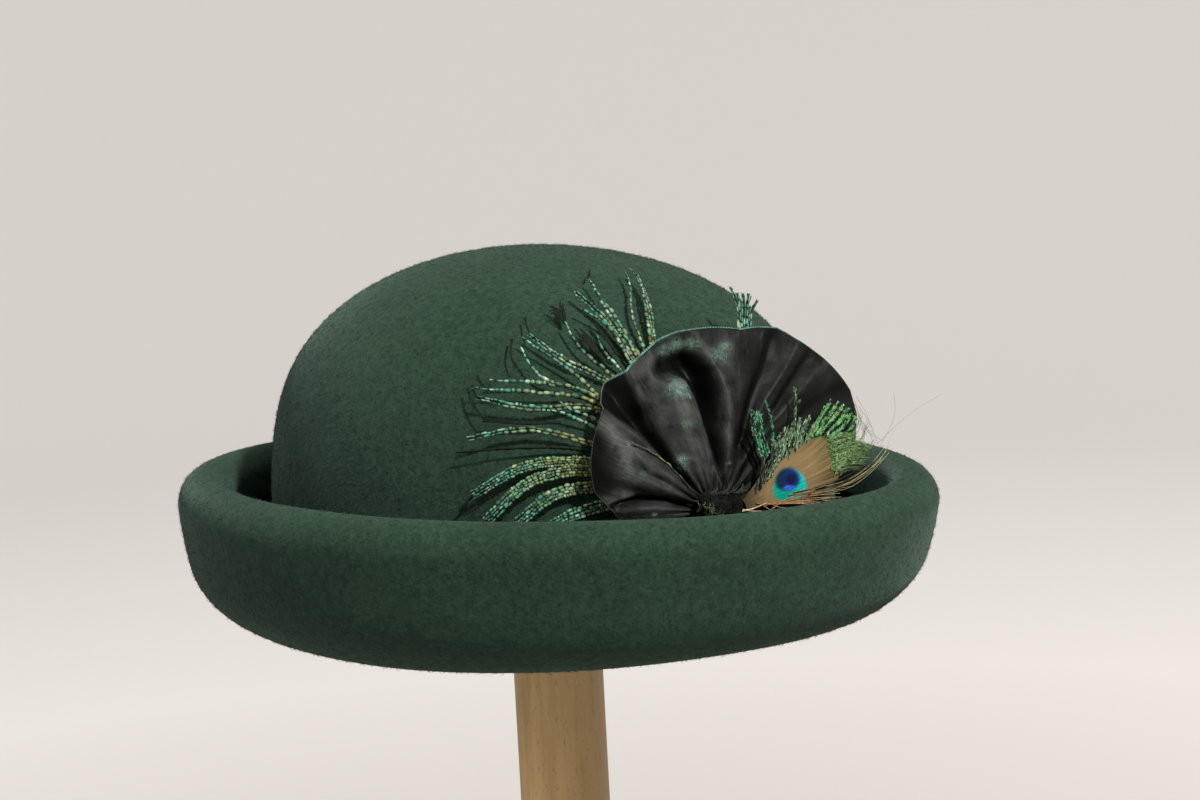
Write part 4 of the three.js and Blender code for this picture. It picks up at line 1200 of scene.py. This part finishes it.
# Bare barbs: start, middle and tip, width at the root, and the kind of colour.
BARE_BARBS = [
    ((24.0, 2.4), (56.3, 3.5), (70.8, 11.0), 0.30, "pale"),
    ((26.0, 2.0), (60.5, 4.4), (74.2, 15.3), 0.28, "pale"),
    ((25.0, 1.6), (57.3, 2.1), (69.6, 8.8), 0.26, "pale"),
    ((26.0, 3.0), (56.5, 5.0), (67.9, 11.1), 0.28, "pale"),
    ((28.0, 2.2), (52.0, 2.7), (66.0, 7.2), 0.24, "pale"),
    ((30.0, 1.8), (45.0, 1.3), (52.1, 0.7), 0.24, "pale"),
    ((27.9, 1.9), (47.2, 3.0), (62.0, 7.4), 0.34, "dark"),
    ((27.0, 1.2), (45.0, 2.2), (57.0, 4.6), 0.34, "dark"),
    ((25.5, 2.6), (46.0, 4.2), (58.5, 7.0), 0.30, "dark"),
    ((24.0, 0.6), (37.0, 0.9), (46.5, 1.6), 0.34, "dark"),
    ((21.0, 0.4), (34.0, -0.7), (42.5, -1.3), 0.34, "dark"),
    ((24.0, 1.6), (38.3, 1.3), (46.1, 0.9), 0.34, "spike"),
    ((23.0, 1.4), (38.2, 0.5), (45.4, -0.3), 0.34, "spike"),
    ((22.0, 1.2), (38.1, -0.4), (45.9, -1.6), 0.36, "spike"),
    ((21.0, 1.0), (37.0, -1.0), (44.1, -2.5), 0.36, "spike"),
    ((20.0, 0.8), (34.9, -1.3), (41.3, -2.8), 0.38, "spike"),
    ((18.0, 0.8), (32.8, -1.3), (38.0, -2.6), 0.38, "spike"),
    ((16.0, 0.8), (29.7, -1.0), (34.8, -2.2), 0.38, "spike"),
    ((20.0, 0.6), (33.0, -0.4), (40.5, -0.9), 0.34, "spike"),
    ((12.0, 1.7), (14.5, 0.5), (16.7, -1.1), 0.40, "spike"),
    ((20.1, 0.4), (18.1, -0.5), (15.8, -1.2), 0.40, "spike"),
    ((17.0, 0.9), (20.0, -0.6), (23.4, -1.3), 0.34, "spike"),
    ((6.0, -0.2), (10.9, 0.2), (15.5, 1.3), 0.80, "quill"),
    ((6.4, 0.5), (10.4, -0.5), (13.5, -0.8), 0.50, "quill"),
]
# Loose hairs beside the feather: start, middle and tip, and how far forward of the knot they stand.
LOOSE_HAIRS = [
    ((66.0, 10.0), (72.1, 21.1), (71.9, 27.0), -20),
    ((64.0, 10.5), (77.0, 19.8), (88.9, 25.1), -20),
    ((58.2, 25.7), (60.3, 18.9), (64.2, 13.5), -20),
    ((59.6, 23.9), (63.5, 17.7), (65.6, 11.7), -20),
    ((57.5, 24.0), (60.6, 17.0), (66.5, 12.5), -19),
    ((58.8, 27.0), (62.5, 20.5), (64.0, 15.0), -20),
    ((57.0, 21.5), (61.5, 18.0), (63.8, 12.8), -20),
    ((58.0, 22.5), (59.8, 17.5), (62.0, 14.5), -20),
    ((59.2, 21.0), (62.8, 16.0), (67.5, 12.4), -20),
    ((57.4, 26.0), (59.4, 22.0), (60.8, 16.0), -20),
]
HAIR_TINT = (0.16, 0.15, 0.11)


def feather_forward(x, y):
    """How far forward the feather stands at a place: in front of the fan, and bent back low down."""
    low = ease((10 - y) / 12) * np.minimum(x / 47, 1.2) ** 2
    return fan_lean(x, y) + FEATHER_FORWARD - 3.2 * low


def eye_tint(x, y, shade):
    """Colour of the vane at a place: bronze, darker at its left foot, and the eye, broadest low down."""
    dx = x - EYE_X
    dy = y - EYE_Y
    square, tall = (2.0, 5.7) if dy > 0 else (2.6, 3.9)
    narrow = EYE_HALF * (1 - 0.16 * max(dy, 0) / tall)
    ring = (abs(dx / narrow) ** square + abs(dy / tall) ** square) ** (1 / square)
    iris = math.hypot((dx + 0.6) / (0.82 * narrow), (dy - 2.5) / 3.6)
    pupil = math.hypot((x - PUPIL_X) / 2.2, (y - PUPIL_Y) / 2.1)
    glow = math.hypot((dx + 0.3) / 2.6, dy / 1.0)
    teal = EYE_TEAL[0].lerp(EYE_TEAL[1], ease((dx + 1) / 5)) * shade
    blue = EYE_BLUE[0].lerp(EYE_BLUE[1], ease((dx + 4) / 7)) * shade ** 3
    tint = BRONZE * shade * mix(0.3, 1, ease((x - 8) / 10))
    tint = tint.lerp(BRONZE_NEAR_EYE * shade, 0.6 * ease((1.16 - ring) / 0.16))
    tint = tint.lerp(teal, ease((1.06 - ring) / 0.14))
    tint = tint.lerp(blue, ease((1.12 - iris) / 0.34))
    tint = tint.lerp(EYE_GLOW, 0.85 * ease((1.1 - glow) / 0.7))
    return tint.lerp(EYE_PUPIL, ease((1.15 - pupil) / 0.55))


feather_draw = random.Random(33)
barb_shade = [feather_draw.uniform(0.90, 1.10) for _ in range(VANE_COLUMNS + 1)]
barb_end = [feather_draw.uniform(-1.0, 1.6) for _ in range(VANE_COLUMNS + 1)]
barb_tip = [feather_draw.random() ** 2 for _ in range(VANE_COLUMNS + 1)]
vane_bm = bmesh.new()
vane_bm.loops.layers.uv.new("barbs")
bmesh.ops.create_grid(vane_bm, x_segments=VANE_COLUMNS, y_segments=VANE_ROWS, size=1, calc_uvs=True)
vane_tint = []
for v in vane_bm.verts:
    u = v.co.x / 2 + 0.5
    s = v.co.y / 2 + 0.5
    column = round(u * VANE_COLUMNS)
    deg = mix(VANE_FROM, VANE_TO, u ** 1.1)
    r = mix(FEATHER_START, np.interp(deg, *zip(*VANE_REACH)) + barb_end[column], s)
    a = math.radians(deg)
    x = FEATHER_X + r * math.cos(a)
    y = FEATHER_Y + r * math.sin(a)
    ripple = 0.22 * noise.noise(Vector((deg * 0.35, r * 0.05, 4))) + (barb_shade[column] - 1)
    v.co = trim_point(x, y, feather_forward(x, y) + ripple * s + 0.5 * s * s)
    green = BRONZE_GREEN * barb_shade[column]
    turn_green = 0.8 * ease((s - 0.88) / 0.12) * ease((deg - 3) / 5)
    darker = 1 - 0.75 * barb_tip[column] * ease((s - 0.72) / 0.2)
    vane_tint.append(eye_tint(x, y, barb_shade[column]).lerp(green, turn_green) * darker)
bmesh.ops.recalc_face_normals(vane_bm, faces=vane_bm.faces)
barb_finish = Finish("peacock_eye", specular_ior_level=0.05)
carried = barb_finish.node("ShaderNodeVertexColor", {"layer_name": "tint"})
comb_way = barb_finish.node("ShaderNodeUVMap", {"uv_map": "barbs"})
ribs = barb_finish.node("ShaderNodeMapping", None, {0: comb_way, 3: (150.0, 3.0, 1.0)})
rib = barb_finish.cloud(ribs, 1.0, 2, 0.5)
deep = barb_finish.node("ShaderNodeMix", {"data_type": "RGBA", "blend_type": "MULTIPLY"},
                        {0: 1.0, 6: carried, 7: BARB_GROOVE}, 2)
barb_finish.feed(
    base_color=barb_finish.blend(barb_finish.span(rib, 0.36, 0.6), deep, carried),
    roughness=0.5 + rib * 0.25,
    normal=barb_finish.bump(rib, 0.25, 0.0004),
)
vane = place_piece("eye_feather_vane", vane_bm, barb_finish, "feather", "eye_feather")
vane_colours = np.ones((len(vane_tint), 4), np.float32)
vane_colours[:, :3] = np.array(vane_tint)
vane.data.attributes.new("tint", "FLOAT_COLOR", "POINT").data.foreach_set("color", vane_colours.ravel())
vane_wall = vane.modifiers.new("vane_thickness", "SOLIDIFY")
vane_wall.thickness = VANE_THICK * MM
vane_wall.offset = 0


def feather_run(stops, count, lift, rise):
    """Points of a smooth barb over the feather through three places, rising to its tip."""
    flat = smooth_run(stops, count, (1, 1))
    return np.array([trim_point(x, y, feather_forward(x, y) + lift + rise * (i / (count - 1)) ** 2)
                     for i, (x, y) in enumerate(flat)])


fringe_rows = new_rows()
barbule_rows = new_rows()
for start, middle, tip, count, spread, width, kind in FRINGE:
    for k in range(count):
        stray = [feather_draw.uniform(-spread, spread) if k else 0.0 for _ in range(6)]
        short = feather_draw.uniform(0.45, 1.0) if k else 1.0
        end = Vector(middle).lerp(Vector(tip), short)
        stops = [
            (start[0] + stray[0], start[1] + stray[1]),
            (middle[0] + 0.8 * stray[2], middle[1] + 0.8 * stray[3]),
            (end.x + stray[4], end.y + stray[5]),
        ]
        path = feather_run(stops, FRINGE_STEPS, 0.3 + 0.25 * (k % 4), feather_draw.uniform(0.2, 1.4))
        side, up = frames_along(path, facing_out)
        run, gap = FRINGE_RUN[kind]
        long = reach_along(path)[-1]
        marks = max(int(long / run), 2)
        tints = np.array([Vector(feather_draw.choice(FRINGE_TINTS[kind])) * feather_draw.uniform(0.6, 1.2)
                          for _ in range(marks)])
        swells = np.array([feather_draw.uniform(0.6, 1.25) for _ in range(marks)])
        at = np.minimum((np.linspace(0, 1, FRINGE_STEPS) * marks).astype(int), marks - 1)
        tint = tints[at]
        lay(fringe_rows, path, side, up, width * swells[at] * np.linspace(1.0, 0.55, FRINGE_STEPS), tint)
        for j in range(int(long / gap) if gap else 0):
            i = min(int((j + feather_draw.random()) * gap / long * FRINGE_STEPS), FRINGE_STEPS - 2)
            ahead = unit(path[i + 1] - path[i])
            for hand in (-1, 1):
                lean = feather_draw.uniform(0.5, 1.1)
                way = unit(ahead + side[i] * hand * lean + up[i] * feather_draw.uniform(-0.1, 0.5))
                tip_at = path[i] + way * BARBULE_LONG * feather_draw.uniform(0.6, 1.2) * MM
                barbule = np.array([path[i], tip_at])
                lay(barbule_rows, barbule, *frames_along(barbule, facing_out),
                    [BARBULE_WIDE, 0.5 * BARBULE_WIDE],
                    np.array([tint[i], tint[i]]) * feather_draw.uniform(0.6, 1.4))
strands("eye_feather_barbules", barbule_rows, 0.08, herl_finish, "feather")
strands("eye_feather_fringe", fringe_rows, 0.2, herl_finish, "feather")

bare_rows = new_rows()
for start, middle, tip, width, kind in BARE_BARBS:
    path = feather_run([start, middle, tip], FRINGE_STEPS, 0.45, 0.6)
    root, end = BARE_TINTS[kind]
    lay(bare_rows, path, *frames_along(path, facing_out), np.linspace(width, 0.4 * width, FRINGE_STEPS),
        [root.lerp(end, (j / (FRINGE_STEPS - 1)) ** 2) for j in range(FRINGE_STEPS)])
for start, middle, tip, forward in LOOSE_HAIRS:
    flat = smooth_run([start, middle, tip], FRINGE_STEPS, (1, 1))
    path = np.array([trim_point(x, y, forward) for x, y in flat])
    lay(bare_rows, path, *frames_along(path, facing_out), np.linspace(0.12, 0.06, FRINGE_STEPS),
        [HAIR_TINT] * FRINGE_STEPS)
bare_finish = tinted("bare_barbs", roughness=0.5, specular_ior_level=0.4)
strands("eye_feather_bare_barbs", bare_rows, 0.16, bare_finish, "feather")

# Loose bits on the fan: a gold quill caught over its left fold, and a few tufts of pale down.
# They are held by the satin alone.
QUILL = [(-23.4, 22.3), (-18.6, 19.4), (-13.6, 15.2), (-9.4, 10.3), (-5.6, 5.3)]
QUILL_TINTS = [(0.15, 0.125, 0.026), (0.012, 0.010, 0.005), (0.006, 0.006, 0.004), (0.07, 0.055, 0.014)]
DOWN_STEPS = 6


def on_fan(x, y):
    """How far forward the satin stands at a place of the trim."""
    near = np.argsort(np.hypot(fan_x - x, fan_y - y))[:8]
    return float(fan_f[near].max())


down_rows = new_rows()
for spot_x, spot_y, radius, strength in DOWN_SPOTS:
    for _ in range(int(9 * radius * strength)):
        a = feather_draw.uniform(0, math.tau)
        r = radius * math.sqrt(feather_draw.random())
        x = spot_x + r * math.cos(a)
        y = spot_y + 0.7 * r * math.sin(a)
        way = feather_draw.uniform(0, math.tau)
        curl = feather_draw.uniform(-1.5, 1.5)
        long = feather_draw.uniform(0.3, 0.9)
        tint = Vector(SATIN_DOWN[:3]) * feather_draw.uniform(0.5, 1.5)
        base = on_fan(x, y) + 0.22
        path = []
        for j in range(DOWN_STEPS):
            u = j / (DOWN_STEPS - 1)
            bend = way + curl * u
            path.append(trim_point(x + long * u * math.cos(bend), y + long * u * math.sin(bend),
                                   base + 0.5 * u))
        path = np.array(path)
        lay(down_rows, path, *frames_along(path, facing_out), np.linspace(0.11, 0.06, DOWN_STEPS),
            [tint] * DOWN_STEPS)
strands("fan_down", down_rows, 0.08, bare_finish, "feather")

quill_flat = smooth_run(QUILL, FRINGE_STEPS, (1, 1))
quill_high = np.array([max(on_fan(x - 0.8, y - 0.8), on_fan(x, y)) + 0.35 for x, y in quill_flat])
quill_high = np.convolve(np.pad(quill_high, 3, "edge"), np.ones(7) / 7, "valid")
quill_path = np.array([trim_point(x, y, f) for (x, y), f in zip(quill_flat, quill_high)])
quill_side, quill_up = frames_along(quill_path, facing_out)
quill_rows = new_rows()
glints(quill_rows, feather_draw, quill_path, quill_side, quill_up,
       lambda share, draw: draw.choice(QUILL_TINTS), 0.5, 0.0, 0.0, 1.3)
strands("fan_quill", quill_rows, 0.3, bare_finish, "herl")

# Floor, light and camera: a pale floor that sweeps up all round, a key light from the upper right,
# a weaker one from the left, a soft one overhead, and the camera where the photograph was taken.
FLOOR_PALE = (0.287, 0.279, 0.269, 1)
FLOOR_GLOW = (0.334, 0.318, 0.303, 1)
FLOOR_RADIUS = 3.2
FLOOR_RISE = 1.3
FLOOR_STEPS = 12
SKY_COLOUR = (1.0, 0.97, 0.93, 1)
SKY_STRENGTH = 0.45
# Each light: how far right of the hat, towards the camera and up it stands, in metres, then its width,
# power and colour.
LIGHTS = {
    "key": (1.02, 1.51, 1.56, 0.2, 133, (1.0, 0.96, 0.91)),
    "fill": (-1.1, 0.7, 0.7, 0.5, 5, (1.0, 0.97, 0.94)),
    "top": (-0.5, 0.1, 2.0, 0.8, 22, (1.0, 0.98, 0.96)),
}
CAMERA_PLACE = (-0.53125, -0.55769, 0.354)
CAMERA_PITCH = 0.108
CAMERA_ROLL = math.radians(3)
CAMERA_LENS = 70

floor_line = [(0, 0)]
for i in range(FLOOR_STEPS + 1):
    a = i / FLOOR_STEPS * math.pi / 2
    floor_line.append((FLOOR_RADIUS - FLOOR_RISE * (1 - math.sin(a)), FLOOR_RISE * (1 - math.cos(a))))
floor_bm = spun(floor_line, TURNED_STEPS, 1e-5)
floor_mesh = bpy.data.meshes.new("floor")
floor_bm.to_mesh(floor_mesh)
floor_bm.free()
floor_mesh.shade_smooth()
paper = Finish("pale_floor", base_color=FLOOR_PALE, roughness=0.9, emission_strength=1.0)
place = paper.node("ShaderNodeTexCoord", output=3)
away = paper.node("ShaderNodeVectorMath", {"operation": "LENGTH"}, {0: place}, 1)
paper.feed(emission_color=paper.blend(paper.span(away, 0.15, 0.8), (0, 0, 0, 1), FLOOR_GLOW))
floor_mesh.materials.append(paper.material)
floor = bpy.data.objects.new("floor", floor_mesh)
bpy.context.scene.collection.objects.link(floor)

world = bpy.data.worlds.new("studio")
world.use_nodes = True
sky = world.node_tree.nodes["Background"]
sky.inputs["Color"].default_value = SKY_COLOUR
sky.inputs["Strength"].default_value = SKY_STRENGTH
bpy.context.scene.world = world

aim = Vector((0, 0, 0.26))
view_right = Vector((1, -1, 0)).normalized()
view_back = Vector((-1, -1, 0)).normalized()
upward = Vector((0, 0, 1))
for name, (right, near, high, width, power, colour) in LIGHTS.items():
    light = bpy.data.lights.new(name, "AREA")
    light.shape = "DISK"
    light.size = width
    light.energy = power
    light.color = colour
    lit = bpy.data.objects.new(name, light)
    lit.location = aim + view_right * right + view_back * near + upward * high
    lit.rotation_mode = "QUATERNION"
    lit.rotation_quaternion = (aim - lit.location).to_track_quat("-Z", "Y")
    bpy.context.scene.collection.objects.link(lit)

forward = Vector((-view_back.x * math.cos(CAMERA_PITCH), -view_back.y * math.cos(CAMERA_PITCH),
                  -math.sin(CAMERA_PITCH)))
level_up = view_right.cross(forward)
image_right = view_right * math.cos(CAMERA_ROLL) - level_up * math.sin(CAMERA_ROLL)
image_up = view_right * math.sin(CAMERA_ROLL) + level_up * math.cos(CAMERA_ROLL)
lens = bpy.data.cameras.new("camera")
lens.lens = CAMERA_LENS
lens.sensor_width = 36
lens.clip_start = 0.01
camera = bpy.data.objects.new("camera", lens)
turned_to = Matrix((image_right, image_up, -forward)).transposed()
camera.matrix_world = Matrix.Translation(CAMERA_PLACE) @ turned_to.to_4x4()
bpy.context.scene.collection.objects.link(camera)
bpy.context.scene.camera = camera
bpy.context.scene.view_settings.view_transform = "Standard"
